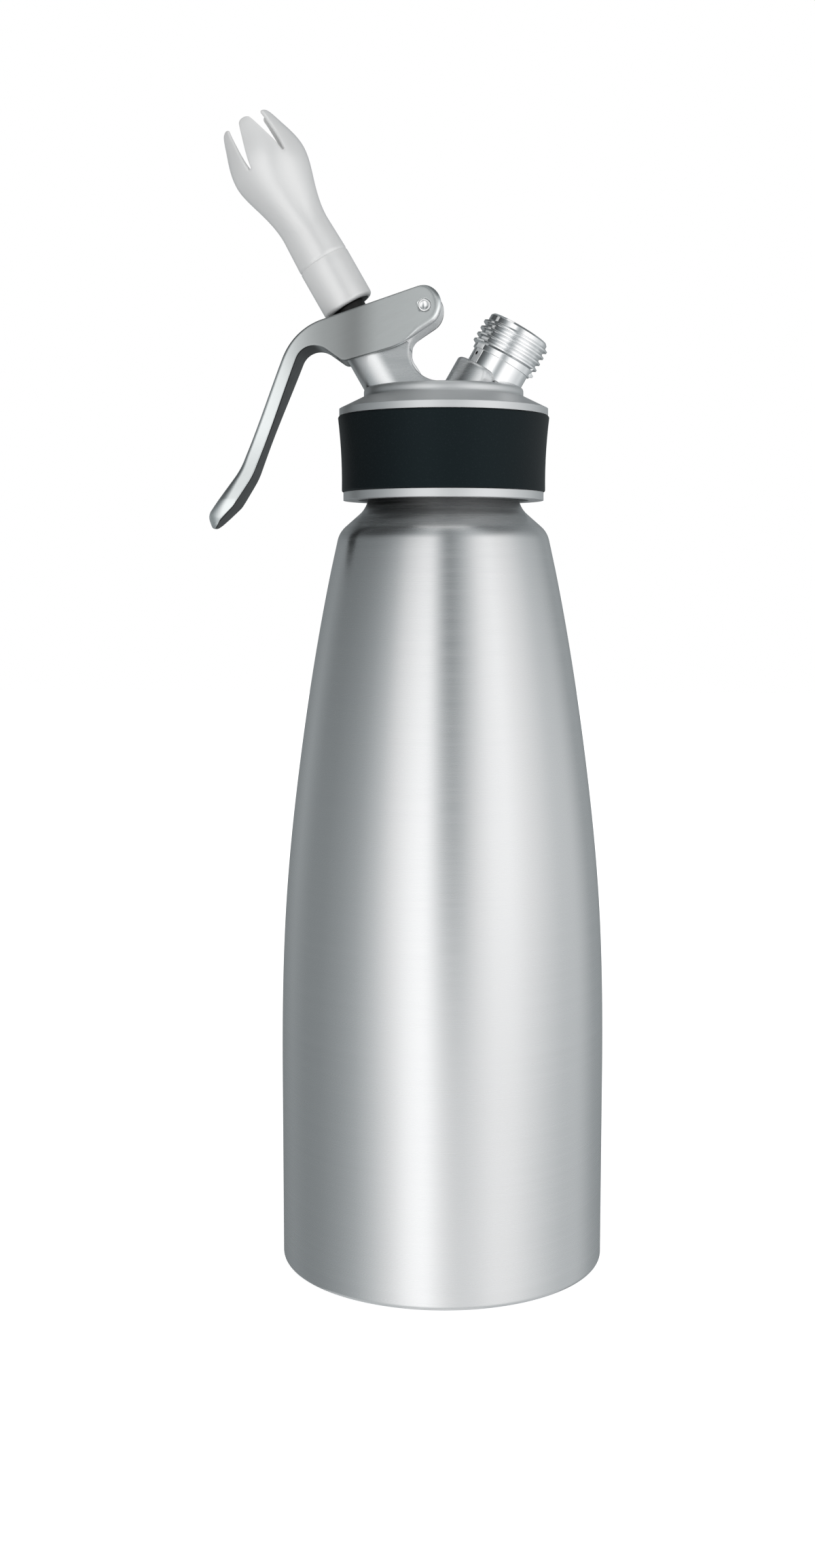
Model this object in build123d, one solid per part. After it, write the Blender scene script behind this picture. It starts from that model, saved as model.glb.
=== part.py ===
from build123d import *
from math import acos, atan2, cos, hypot, pi, radians, sin, sqrt, tan
import os

# Whipped cream dispenser: a steel bottle, a screwed head with a charging port, and a lever that
# pushes a hollow valve stem, which carries the decorating tip.
# Millimetres. The origin is the centre of the bottle's foot, +Z is up, the lever reaches to -X,
# the charging port leans to +X. Every slanted piece is modelled upright on its own axis and then
# laid on stem_frame or port_frame; "height" there means the height along that axis.

# ---- bottle ----
bottle_r = 51.6
bottle_wall = 1.2
bottle_height = 268.15
foot_corner_r = 1.8
foot_ring_width = 6.0
foot_dish_depth = 3.0
straight_height = 60.0
belly_drop = 150.4         # from the rim down to a point on the curved belly
belly_r = 49.9
taper_drop = 106.6
taper_r = 45.3
shoulder_drop = 46.5
shoulder_r = 35.2
shoulder_lean = 0.21       # inward run of the side per unit of height at the shoulder
corner_drop = 34.8
corner_r = 32.6
waist_drop = 26.8
waist_r = 23.5
shoulder_round = 8.0
waist_round = 8.0
finish_drop = 21.0         # height of the thick threaded mouth
finish_r = 24.6

# ---- cutting and joining ----
overshoot = 1.0            # how far a cutter runs past the face that it opens
ridge_root = 0.15          # how deep a thread's ridge is rooted in its wall
small_play = 0.05          # between small pieces that fit together
ring_squeeze = 0.02        # how far a sealing ring stands out of its groove

# ---- head thread ----
head_pitch = 4.0
head_turns = 2.0
head_thread_height = 1.5
head_thread_base = 1.9
head_thread_crest = 1.0
head_thread_drop = 16.5    # rim down to the first turn on the bottle
head_thread_play = 0.6
head_flank_gap = 0.3
head_crest_cut = 0.1       # the inner thread stands out less than the outer one by this

# ---- head ----
gasket_thickness = 2.0
gasket_overhang = 1.0
gasket_gap = 0.05
gasket_side_gap = 0.5
skirt_wall = 2.2
skirt_length = 27.05
lower_flange_height = 2.5
lower_flange_reach = 2.4
upper_flange_height = 2.2
upper_flange_reach = 3.6
upper_flange_drop = 1.15   # its lower face, below the roof's inner face
platform_r = 24.8
platform_rise = 4.8
platform_edge_round = 1.3
deck_rise = 7.55           # top of the platform, where the two slanted axes are set out
grip_gap = 0.05
grip_waist_reach = 3.0
grip_waist_share = 0.45    # height of its waist, as a share of its own height
grip_lip_reach = 4.05
grip_foot_reach = 2.9
grip_edge_round = 0.6

# ---- valve neck, on the stem axis ----
lean = 30.0
stem_foot_x = 14.83
neck_half_length = 8.8
neck_half_width = 6.9
neck_top = 15.6
neck_root = 2.0
seat_depth = 5.0
seat_pocket_r = 6.9
seat_recess_r = 4.6
seat_recess_height = 2.6
spring_pocket_r = 5.7
spring_pocket_floor = 3.0

# ---- pivot post ----
pivot_x = -5.5
pivot_rise = 24.2          # over the deck height
post_half_width = 4.6      # at the pivot, where the web is thinnest
ear_half_width = 6.8
ear_r = 3.8
window_r = 9.0             # round hollow between the post and the port boss
window_x = -1.2
window_floor = 1.9         # its lowest point, over the deck height
window_lip_angle = 20.0    # where the web leaves the ear, below level
saddle_end_x = 5.0

# ---- lever ----
pin_r = 1.9
pin_play = 0.05
pin_overhang = 0.15
pin_dish_r = 1.2
pin_dish_depth = 0.7
cheek_half_width = 9.0
cheek_wall = 1.9
lever_end_r = 6.1
lever_top_wall = 2.0
lever_top_slope = 18.2
lever_heel_slope = 32.0
lever_slot_half_width = 5.3
lever_slot_half_length = 7.2
cam_r = 1.2
cam_gap = 0.3
cam_root = 0.1
lever_bend_x = 40.4        # outer side of the bend, from the pivot outwards and down
lever_bend_drop = 6.8
lever_bend_round = 20.0
flare_x = 57.7             # where the grip's outer side turns out to the spoon
flare_drop = 49.4
flare_round = 25.0
spoon_top_x = 68.3
spoon_top_drop = 63.4
spoon_top_round = 4.0
spoon_tip_x = 67.3
spoon_tip_drop = 68.4
spoon_tip_round = 0.9
spoon_heel_x = 59.4        # where its inner side turns in to the tip
spoon_heel_drop = 60.6
spoon_heel_round = 6.0
inner_flare_x = 53.6
inner_flare_drop = 51.6
inner_bend_x = 36.6        # inner side of the bend
inner_bend_drop = 8.6
inner_bend_round = 6.0
cheek_toe_x = 25.1         # lowest corner of the cheeks
cheek_toe_drop = 16.7
cheek_toe_round = 3.0
cheek_heel_x = 7.7
cheek_heel_drop = 12.0
channel_front = 28.5       # front wall of the hollow under the lever
channel_front_foot = 26.9
channel_drop = 25.0
handle_shoulder_drop = 14.0
handle_waist_half = 6.1
handle_waist_drop = 40.0
spoon_half_width = 8.6
spoon_wide_drop = 58.5
spoon_end_drop = 69.0
spoon_flare = 0.15         # how fast it still widens there, per unit of height

# ---- valve stem and collar ----
stem_r = 3.6
stem_bore_r = 2.2
stem_play = 0.05
stem_foot_r = 5.6
stem_foot_height = 2.0
stem_port_r = 1.2
stem_port_lift = 1.3       # centre of the cross holes over the seat
stem_top = 38.1
stem_web = 0.4
seal_r = 5.9
seal_thickness = 2.0
seal_gap = 0.05
ring_groove_lift = 1.9
ring_groove_half = 0.6
ring_wire_r = 0.36
collar_top = 28.85
collar_sleeve_r = 4.8
collar_flange_r = 6.6
collar_flange_top = 22.9
collar_flange_height = 2.5
collar_play = 0.05
spring_wire_r = 0.5
spring_side_gap = 0.3
spring_turns = 6.0
spring_end_gap = 0.05

# ---- tip ----
tip_pitch = 1.5
tip_turns = 3.0
tip_thread_height = 0.45
tip_thread_base = 0.7
tip_thread_crest = 0.35
tip_thread_play = 0.25
tip_flank_gap = 0.1
tip_crest_gap = 0.05
tip_thread_start = 32.4
tip_base_gap = 0.05
insert_r = 6.6
insert_lip_r = 2.4
insert_lip_height = 1.2
tip_seal_thickness = 1.2
tip_seal_gap = 0.05
tip_wall = 1.5
tip_lip_wall = 1.1         # thinner where the petals end
tip_base_r = 8.15
tip_base_height = 15.65
tip_foot_round = 1.3
tip_step = 0.35
tip_bead_height = 1.0
tip_waist_r = 7.7
tip_waist_height = 27.25
tip_bulge_r = 12.1
tip_bulge_height = 49.75
tip_rise_in = 2.2          # a point on the side below the bulge
tip_rise_drop = 10.5
tip_mouth_r = 7.95
tip_close_out = 1.75       # a point on the side below the mouth
tip_close_drop = 4.55
tip_length = 64.2
petal_count = 6
petal_slot_depth = 15.05
petal_slot_width = 5.0
petal_slot_root = 0.7

# ---- charging port ----
port_foot_x = 13.28
port_r = 9.3
port_seat = 0.5
port_bore_play = 0.05
port_length = 20.65
port_thread_core_r = 9.85
port_thread_bottom = 9.0
port_pitch = 2.1
port_turns = 4.2
port_thread_height = 1.0
port_thread_base = 1.7
port_thread_crest = 0.5
port_thread_start = 10.0
port_chamfer = 0.6
port_shank_r = 4.0
port_shank_length = 9.0
port_mouth_r = 7.5
port_ledge = 10.0
port_plug_bore_r = 5.0
port_plug_floor = 3.0
valve_seat_r = 3.4
valve_seat_height = 1.0
valve_seat_hole_r = 1.3
ball_chamber_r = 2.6
ball_chamber_floor = -5.0
ball_r = 1.9
ball_gap = 0.02
ball_spring_wire_r = 0.25
ball_spring_r = 1.5
ball_spring_turns = 4.5
gas_hole_r = 1.0
vent_r = 0.6
vent_height = 7.4
vent_turn = 215.0
carrier_flange_height = 2.0
needle_r = 1.3
needle_bore_r = 0.45
needle_height = 6.0        # cylinder and point, over the carrier's flange
needle_point = 3.0
needle_edge = 0.15
charger_seal_height = 2.0
charger_seal_hole_r = 2.4
port_ring_lift = 1.4
port_ring_r = 0.45
port_groove_half = 0.7
washer_r = 6.3
washer_height = 0.75
nut_width = 11.0
nut_height = 2.4

# ---- port boss ----
boss_r = 12.2
boss_top = 4.4
boss_back = 1.6            # where its outer side is cut, behind the port's axis
boss_arm_reach = 2.0       # how far its two arms reach past the port's axis
boss_edge_round = 1.2
boss_arm_round = 3.4       # rounds the top corner of each arm
boss_root_rise = -3.0

# ---- worked out ----
mouth_r = waist_r - bottle_wall
roof_z = bottle_height + gasket_thickness + 2 * gasket_gap
deck_z = roof_z + deck_rise
male_crest_r = finish_r + head_thread_height
skirt_bore_r = male_crest_r + head_thread_play
skirt_r = skirt_bore_r + skirt_wall
skirt_z = roof_z - skirt_length
lower_flange_r = skirt_r + lower_flange_reach
upper_flange_r = skirt_r + upper_flange_reach
upper_flange_z = roof_z - upper_flange_drop
lean_sin = sin(radians(lean))
lean_cos = cos(radians(lean))
stem_axis_plane = Plane(
    origin=(-stem_foot_x, 0, deck_z), x_dir=(lean_cos, 0, lean_sin), z_dir=(-lean_sin, 0, lean_cos)
)
port_axis_plane = Plane(
    origin=(port_foot_x, 0, deck_z), x_dir=(lean_cos, 0, -lean_sin), z_dir=(lean_sin, 0, lean_cos)
)
stem_frame = stem_axis_plane.location
port_frame = port_axis_plane.location
pivot = Vector(pivot_x, 0, deck_z + pivot_rise)
guide_bore_r = stem_r + stem_play
collar_bottom = collar_flange_top - collar_flange_height
stem_thread_crest_r = stem_r - tip_crest_gap
stem_thread_core_r = stem_thread_crest_r - tip_thread_height
insert_bore_r = stem_thread_crest_r + tip_thread_play
spring_r = spring_pocket_r - spring_side_gap - spring_wire_r
tip_base = collar_top + tip_base_gap


def turned(outline):
    """A solid of revolution about Z; outline is its corners as (radius, height)."""
    corners = [(r, 0, z) for r, z in outline]
    return revolve(make_face(Polyline(*corners, close=True)), Axis.Z)


def tube(outer_r, inner_r, bottom, top):
    """A straight ring from bottom to top."""
    return turned([(inner_r, bottom), (outer_r, bottom), (outer_r, top), (inner_r, top)])


def rod(radius, bottom, top):
    """A straight cylinder on the Z axis."""
    return Pos(0, 0, bottom) * Cylinder(radius, top - bottom, align=(Align.CENTER, Align.CENTER, Align.MIN))


def ridge(root_r, crest_r, pitch, turns, base, crest, start):
    """A right-handed helical ridge, standing out from root_r to crest_r and rooted a little deeper."""
    depth = ridge_root if crest_r > root_r else -ridge_root
    path = Helix(pitch, pitch * turns, root_r, center=(0, 0, start))
    root = root_r - depth
    section = Polyline(
        (root, 0, start - base / 2), (root, 0, start + base / 2),
        (crest_r, 0, start + crest / 2), (crest_r, 0, start - crest / 2), close=True,
    )
    return sweep(make_face(section), path=path, is_frenet=True)


def coil(radius, wire_r, bottom, top, turns):
    """A helical spring wire whose outermost points reach bottom and top."""
    height = top - bottom - 2 * wire_r
    path = Helix(height / turns, height, radius, center=(0, 0, bottom + wire_r))
    section = Plane(origin=path @ 0, z_dir=path % 0) * Circle(wire_r)
    return sweep(section, path=path, is_frenet=True)


# ---------------------------------------------------------------- bottle and head

def bottle_side(inset):
    """The side's curve from the straight wall up to the finish, moved inwards by inset."""
    belly = Spline(
        (bottle_r - inset, 0, straight_height),
        (belly_r - inset, 0, bottle_height - belly_drop),
        (taper_r - inset, 0, bottle_height - taper_drop),
        (shoulder_r - inset, 0, bottle_height - shoulder_drop),
        tangents=((0, 0, 1), (-shoulder_lean, 0, 1)),
    )
    neck = FilletPolyline(
        (shoulder_r - inset, 0, bottle_height - shoulder_drop),
        (corner_r - inset, 0, bottle_height - corner_drop - inset / 2),
        (waist_r - inset, 0, bottle_height - waist_drop - inset / 2),
        (waist_r - inset, 0, bottle_height - finish_drop),
        radius=[shoulder_round - inset, waist_round + inset],
    )
    return belly, neck


def make_bottle():
    dish_r = bottle_r - foot_corner_r - foot_ring_width
    outer_belly, outer_neck = bottle_side(0)
    inner_belly, inner_neck = bottle_side(bottle_wall)
    foot = FilletPolyline(
        (dish_r, 0, 0), (bottle_r, 0, 0), (bottle_r, 0, straight_height), radius=foot_corner_r
    )
    rim = Polyline(
        (waist_r, 0, bottle_height - finish_drop), (finish_r, 0, bottle_height - finish_drop),
        (finish_r, 0, bottle_height), (mouth_r, 0, bottle_height),
        (mouth_r, 0, bottle_height - finish_drop),
    )
    inside_foot = Polyline(
        (bottle_r - bottle_wall, 0, straight_height), (bottle_r - bottle_wall, 0, foot_corner_r),
        (bottle_r - foot_corner_r, 0, bottle_wall), (dish_r, 0, bottle_wall),
        (dish_r - foot_dish_depth, 0, bottle_wall + foot_dish_depth),
        (0, 0, bottle_wall + foot_dish_depth), (0, 0, foot_dish_depth),
        (dish_r - foot_dish_depth, 0, foot_dish_depth), (dish_r, 0, 0),
    )
    outline = foot + outer_belly + outer_neck + rim + inner_neck + inner_belly + inside_foot
    body = revolve(make_face(outline.edges()), Axis.Z)
    thread = ridge(
        finish_r, male_crest_r, head_pitch, head_turns, head_thread_base, head_thread_crest,
        bottle_height - head_thread_drop,
    )
    return body + thread


def head_shell():
    """The turned part of the head: roof with its platform, skirt and two flanges."""
    platform_z = roof_z + platform_rise
    flange_top = upper_flange_z + upper_flange_height
    shell = turned([
        (skirt_bore_r, skirt_z), (lower_flange_r, skirt_z),
        (lower_flange_r, skirt_z + lower_flange_height), (skirt_r, skirt_z + lower_flange_height),
        (skirt_r, upper_flange_z), (upper_flange_r, upper_flange_z), (upper_flange_r, flange_top),
        (platform_r, platform_z), (platform_r, deck_z), (0, deck_z),
        (0, roof_z), (skirt_bore_r, roof_z),
    ])
    rim = shell.edges().filter_by(GeomType.CIRCLE).group_by(Axis.Z)[-1]
    return fillet(rim, platform_edge_round)


def neck_blank():
    """The flattened round neck round the stem, rooted in the roof."""
    section = Pos(0, 0, -neck_root) * Ellipse(neck_half_length, neck_half_width)
    return stem_frame * extrude(section, neck_root + neck_top)


def web_section():
    """The web cut across the stem axis: its sides leave the oval neck at a tangent and close in."""
    far = stem_axis_plane.to_local_coords(pivot).X
    across = far / neck_half_length
    along = post_half_width / neck_half_width
    turn = atan2(along, across) + acos(1 / hypot(across, along))
    near_x = neck_half_length * cos(turn)
    near_y = neck_half_width * sin(turn)
    return make_face(Polyline(
        (near_x, near_y), (far, post_half_width), (far, -post_half_width), (near_x, -near_y), close=True,
    ))


def post_blank():
    """The web from the neck up to the lever's pivot, hollowed round between neck and port."""
    window = Vector(window_x, 0, deck_z + window_floor + window_r)
    lip = radians(window_lip_angle)
    side = make_face(Polyline(
        (-2 * platform_r, 0, deck_z - neck_root), (-2 * platform_r, 0, 2 * deck_z),
        (pivot.X, 0, 2 * deck_z), (pivot.X, 0, pivot.Z),
        (pivot.X + ear_r * cos(lip), 0, pivot.Z - ear_r * sin(lip)),
        (window.X - window_r / 2, 0, window.Z + window_r * sqrt(3) / 2),
        (window.X, 0, window.Z), (window.X, 0, deck_z - neck_root), close=True,
    ))
    column = Pos(0, 0, -2 * neck_top) * extrude(web_section(), 3 * neck_top)
    web = stem_frame * column & extrude(side, neck_half_width, dir=(0, 1, 0), both=True)
    hole = Pos(window.X, 0, window.Z) * Rot(90, 0, 0) * Cylinder(window_r, 4 * neck_half_width)
    saddle_start = window.X - window_r / 2
    saddle = Pos((saddle_start + saddle_end_x) / 2, 0, deck_z) * Box(
        saddle_end_x - saddle_start, 2 * post_half_width, 2 * window_floor)
    return web - hole + saddle


def ear_blank():
    """The round boss that holds the pivot pin."""
    return Pos(pivot) * Rot(90, 0, 0) * Cylinder(ear_r, 2 * ear_half_width)


def boss_blank():
    """The crescent collar that carries the charging port, open on its outer side. Its two arms end on
    slanted faces that round off at the top."""
    reach = 2 * boss_r
    block = fillet(rod(boss_r, -reach, boss_top).edges().group_by(Axis.Z)[-1], boss_edge_round)
    front = FilletPolyline(
        (-reach, -boss_r, boss_top), (-boss_back, -boss_r, boss_top), (-boss_back, -boss_r, -reach),
        radius=boss_arm_round,
    )
    rest = Polyline(
        (-boss_back, -boss_r, -reach), (-reach, -boss_r, -reach), (-reach, -boss_r, boss_top))
    profile = make_face((front + rest).edges())
    slant = (boss_arm_reach + boss_back, boss_r - port_r, 0)
    arm = extrude(profile, hypot(*slant), dir=slant)
    middle = Pos(*slant) * extrude(profile, 2 * port_r, dir=(0, 1, 0))
    crescent = port_frame * (block & (arm + middle + mirror(arm, Plane.XZ)))
    column = rod(platform_r - platform_edge_round, deck_z + boss_root_rise, deck_z + 2 * boss_r)
    return crescent & column


def make_head_body():
    solid = head_shell() + neck_blank() + post_blank() + boss_blank() + ear_blank()
    pocket = rod(seat_pocket_r, -4 * seat_depth, -seat_depth)
    stem_way = (
        pocket
        + rod(seat_recess_r, -seat_depth, seat_recess_height - seat_depth)
        + rod(guide_bore_r, -seat_depth, neck_top + overshoot)
        + rod(spring_pocket_r, spring_pocket_floor, neck_top + overshoot)
    )
    port_way = (
        pocket
        + rod(port_shank_r + port_bore_play, -4 * seat_depth, port_seat)
        + rod(port_r + port_bore_play, port_seat, port_length)
    )
    solid = solid - stem_frame * stem_way - port_frame * port_way
    solid -= Pos(pivot) * Rot(90, 0, 0) * Cylinder(pin_r, 4 * cheek_half_width)
    female = ridge(
        skirt_bore_r, skirt_bore_r - head_thread_height + head_crest_cut, head_pitch, head_turns,
        head_thread_base, head_thread_crest,
        bottle_height - head_thread_drop - head_pitch / 2 + head_flank_gap,
    )
    return solid + female


def make_head_gasket():
    bottom = bottle_height + gasket_gap
    outer = skirt_bore_r - gasket_side_gap
    return tube(outer, mouth_r - gasket_overhang, bottom, bottom + gasket_thickness)


def make_silicone_grip():
    bottom = skirt_z + lower_flange_height + grip_gap
    top = upper_flange_z - grip_gap
    height = top - bottom
    inner = skirt_r + grip_gap
    side = Spline(
        (skirt_r + grip_foot_reach, 0, bottom),
        (skirt_r + grip_waist_reach, 0, bottom + height * grip_waist_share),
        (skirt_r + grip_lip_reach, 0, top),
    )
    back = Polyline(
        (skirt_r + grip_lip_reach, 0, top), (inner, 0, top), (inner, 0, bottom),
        (skirt_r + grip_foot_reach, 0, bottom),
    )
    sleeve = revolve(make_face((side + back).edges()), Axis.Z)
    rims = sleeve.edges().filter_by(lambda e: e.length > 2 * pi * (inner + grip_foot_reach / 2))
    return fillet(rims, grip_edge_round)


# ---------------------------------------------------------------- lever

def lever_outline():
    """The lever seen from the side, as corners with the radius that rounds each."""
    top_tangent = pivot + lever_end_r * Vector(
        -sin(radians(lever_top_slope)), 0, cos(radians(lever_top_slope)))
    heel_tangent = pivot + lever_end_r * Vector(
        sin(radians(lever_heel_slope)), 0, -cos(radians(lever_heel_slope)))
    corners = [
        (lever_bend_x, lever_bend_drop, lever_bend_round),
        (flare_x, flare_drop, flare_round),
        (spoon_top_x, spoon_top_drop, spoon_top_round),
        (spoon_tip_x, spoon_tip_drop, spoon_tip_round),
        (spoon_heel_x, spoon_heel_drop, spoon_heel_round),
        (inner_flare_x, inner_flare_drop, flare_round),
        (inner_bend_x, inner_bend_drop, inner_bend_round),
        (cheek_toe_x, cheek_toe_drop, cheek_toe_round),
        (cheek_heel_x, cheek_heel_drop, flare_round),
    ]
    points = [top_tangent] + [pivot - Vector(x, 0, drop) for x, drop, _ in corners] + [heel_tangent]
    side = FilletPolyline(*points, radius=[r for _, _, r in corners])
    plate = make_face((side + Line(heel_tangent, top_tangent)).edges())
    return plate


def grip_width():
    """The lever seen from the front: full width over the head, a waist, and a rounded spoon end."""
    shoulder_z = pivot.Z - handle_shoulder_drop
    outer = Spline(
        (0, cheek_half_width, shoulder_z),
        (0, handle_waist_half, pivot.Z - handle_waist_drop),
        (0, spoon_half_width, pivot.Z - spoon_wide_drop),
        tangents=((0, 0, -1), (0, spoon_flare, -1)),
    )
    other = mirror(outer, Plane.XZ)
    end = ThreePointArc(outer @ 1, (0, 0, pivot.Z - spoon_end_drop), other @ 1)
    over = pivot.Z + 2 * lever_end_r
    top = Polyline(
        (0, -cheek_half_width, shoulder_z), (0, -cheek_half_width, over),
        (0, cheek_half_width, over), (0, cheek_half_width, shoulder_z),
    )
    face = make_face((outer + other + end + top).edges())
    return extrude(face, 2 * spoon_top_x, dir=(1, 0, 0), both=True)


def make_lever():
    blank = extrude(lever_outline(), cheek_half_width, dir=(0, 1, 0), both=True)
    blank = blank & grip_width()
    blank += Pos(pivot) * Rot(90, 0, 0) * Cylinder(lever_end_r, 2 * cheek_half_width)
    inner_half = cheek_half_width - cheek_wall
    ceiling = lever_end_r - lever_top_wall
    slope = radians(lever_top_slope)

    back = 2 * lever_end_r
    over_back = ceiling / cos(slope) + back * tan(slope)
    over_front = ceiling / cos(slope) - channel_front * tan(slope)
    channel = make_face(Polyline(
        (pivot.X + back, 0, pivot.Z + over_back), (pivot.X - channel_front, 0, pivot.Z + over_front),
        (pivot.X - channel_front_foot, 0, pivot.Z - channel_drop),
        (pivot.X + back, 0, pivot.Z - channel_drop), close=True,
    ))
    blank -= extrude(channel, inner_half, dir=(0, 1, 0), both=True)
    cam_height = collar_flange_top + cam_gap + cam_r
    cam = Pos(0, 0, cam_height) * Rot(90, 0, 0) * Cylinder(cam_r, 2 * (inner_half + cam_root))
    blank += stem_frame * cam
    slot = Pos(0, 0, collar_flange_top) * extrude(
        SlotOverall(2 * lever_slot_half_length, 2 * lever_slot_half_width), 2 * lever_end_r)
    blank -= stem_frame * slot
    return blank - Pos(pivot) * Rot(90, 0, 0) * Cylinder(pin_r + pin_play, 4 * cheek_half_width)


def make_lever_pin():
    half = cheek_half_width + pin_overhang
    pin = turned([
        (0, -half + pin_dish_depth), (pin_dish_r, -half), (pin_r, -half),
        (pin_r, half), (pin_dish_r, half), (0, half - pin_dish_depth),
    ])
    return Pos(pivot) * Rot(90, 0, 0) * pin


# ---------------------------------------------------------------- valve

def make_valve_stem():
    seal_top = -seat_depth - seal_gap
    foot_top = seal_top - seal_thickness
    foot_bottom = foot_top - stem_foot_height
    stem = rod(stem_foot_r, foot_bottom, foot_top) + rod(stem_r, foot_bottom, collar_top)
    stem += rod(stem_thread_core_r, collar_top, stem_top)
    stem += ridge(
        stem_thread_core_r, stem_thread_crest_r, tip_pitch, tip_turns, tip_thread_base,
        tip_thread_crest, tip_thread_start,
    )
    stem -= rod(stem_bore_r, -seat_depth + stem_web, stem_top)
    groove_floor = stem_r + ring_squeeze - 2 * ring_wire_r
    stem -= tube(
        stem_r + overshoot, groove_floor, ring_groove_lift - ring_groove_half,
        ring_groove_lift + ring_groove_half,
    )
    cross = Pos(0, 0, -seat_depth + stem_port_lift + stem_web) * Rot(90, 0, 0)
    drill = Cylinder(stem_port_r, 4 * stem_r)
    stem -= cross * drill
    stem -= cross * Rot(0, 90, 0) * drill
    return stem_frame * stem


def make_stem_seal():
    top = -seat_depth - seal_gap
    return stem_frame * tube(seal_r, stem_r + small_play, top - seal_thickness, top)


def make_stem_o_ring():
    centre_r = stem_r + ring_squeeze - ring_wire_r
    return stem_frame * (Pos(0, 0, ring_groove_lift) * Torus(centre_r, ring_wire_r))


def make_spring_cap():
    inner = stem_r + collar_play
    return stem_frame * turned([
        (inner, collar_bottom), (collar_flange_r, collar_bottom), (collar_flange_r, collar_flange_top),
        (collar_sleeve_r, collar_flange_top), (collar_sleeve_r, collar_top), (inner, collar_top),
    ])


def make_return_spring():
    bottom = spring_pocket_floor + spring_end_gap
    top = collar_bottom - spring_end_gap
    return stem_frame * coil(spring_r, spring_wire_r, bottom, top, spring_turns)


# ---------------------------------------------------------------- tip

def tip_radius_points(inset, lip_inset):
    """The tulip's outline over its base as (radius, height along the axis), moved inwards by inset,
    and by lip_inset near the mouth."""
    return [
        (tip_waist_r - inset, tip_base + tip_waist_height),
        (tip_bulge_r - tip_rise_in - inset, tip_base + tip_bulge_height - tip_rise_drop),
        (tip_bulge_r - inset, tip_base + tip_bulge_height),
        (tip_mouth_r + tip_close_out - lip_inset, tip_base + tip_length - tip_close_drop),
        (tip_mouth_r - lip_inset, tip_base + tip_length),
    ]


def tip_curve(inset, lip_inset):
    points = [(r, 0, z) for r, z in tip_radius_points(inset, lip_inset)]
    return Spline(*points, tangents=((0, 0, 1), (-0.5, 0, 0.8)))


def make_decorator_tip():
    base_top = tip_base + tip_base_height
    insert_top = stem_top + tip_seal_gap * 2 + tip_seal_thickness + insert_lip_height
    outer = tip_curve(0, 0)
    inner = tip_curve(tip_wall, tip_lip_wall)
    bead_top = base_top + tip_bead_height
    outside = FilletPolyline(
        (insert_r + small_play, 0, tip_base), (tip_base_r, 0, tip_base), (tip_base_r, 0, base_top),
        (tip_base_r - tip_step, 0, base_top + tip_step), (tip_base_r, 0, bead_top), outer @ 0,
        radius=[tip_foot_round, 0, 0, 0],
    )
    mouth = Line(outer @ 1, inner @ 1)
    inside = Polyline(
        inner @ 0, (tip_waist_r - tip_wall, 0, insert_top + small_play),
        (insert_r + small_play, 0, insert_top + small_play), (insert_r + small_play, 0, tip_base),
    )
    tip = revolve(make_face((outside + outer + mouth + inner + inside).edges()), Axis.Z)
    top = tip_base + tip_length
    notch = make_face(Polyline(
        (-petal_slot_width / 2, 0, top + overshoot), (petal_slot_width / 2, 0, top + overshoot),
        (petal_slot_root / 2, 0, top - petal_slot_depth),
        (-petal_slot_root / 2, 0, top - petal_slot_depth), close=True,
    ))
    blade = extrude(notch, 2 * tip_bulge_r, dir=(0, 1, 0))
    for i in range(petal_count):
        tip -= Rot(0, 0, 360 / petal_count * (i + 0.5)) * blade
    return stem_frame * tip


def make_tip_insert():
    seal_top = stem_top + 2 * tip_seal_gap + tip_seal_thickness
    insert = tube(insert_r, insert_bore_r, tip_base, seal_top + insert_lip_height)
    insert += tube(insert_r, insert_lip_r, seal_top, seal_top + insert_lip_height)
    insert += ridge(
        insert_bore_r, insert_bore_r - tip_thread_height, tip_pitch, tip_turns,
        tip_thread_base, tip_thread_crest, tip_thread_start - tip_pitch / 2 + tip_flank_gap,
    )
    return stem_frame * insert


def make_tip_seal():
    bottom = stem_top + tip_seal_gap
    ring = tube(insert_bore_r - small_play, insert_lip_r, bottom, bottom + tip_seal_thickness)
    return stem_frame * ring


# ---------------------------------------------------------------- charging port

def make_charging_port():
    shank_bottom = port_seat - port_shank_length
    body = turned([
        (0, shank_bottom), (port_shank_r, shank_bottom), (port_shank_r, port_seat), (port_r, port_seat),
        (port_r, port_thread_bottom), (port_thread_core_r, port_thread_bottom),
        (port_thread_core_r, port_length - port_chamfer), (port_thread_core_r - port_chamfer, port_length),
        (0, port_length),
    ])
    body += ridge(
        port_thread_core_r, port_thread_core_r + port_thread_height, port_pitch, port_turns,
        port_thread_base, port_thread_crest, port_thread_start,
    )
    body -= rod(port_mouth_r, port_ledge, port_length + overshoot)
    body -= rod(port_plug_bore_r, port_plug_floor, port_ledge)
    body -= rod(valve_seat_r + small_play, port_plug_floor - valve_seat_height, port_plug_floor)
    body -= rod(ball_chamber_r, ball_chamber_floor, port_plug_floor)
    body -= rod(gas_hole_r, shank_bottom - overshoot, ball_chamber_floor)
    groove = port_seat + port_ring_lift
    body -= tube(
        port_r + overshoot, port_r - 2 * port_ring_r, groove - port_groove_half, groove + port_groove_half)
    vent = Rot(0, 0, vent_turn) * Pos(port_r, 0, vent_height) * Rot(0, 90, 0)
    body -= vent * Cylinder(vent_r, 2 * (port_r - port_plug_bore_r) + overshoot)
    return port_frame * body


def make_port_o_ring():
    ring = Torus(port_r - port_ring_r + ring_squeeze, port_ring_r)
    return port_frame * (Pos(0, 0, port_seat + port_ring_lift) * ring)


def make_port_washer():
    top = -seat_depth - small_play
    return port_frame * tube(washer_r, port_shank_r + small_play, top - washer_height, top)


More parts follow.
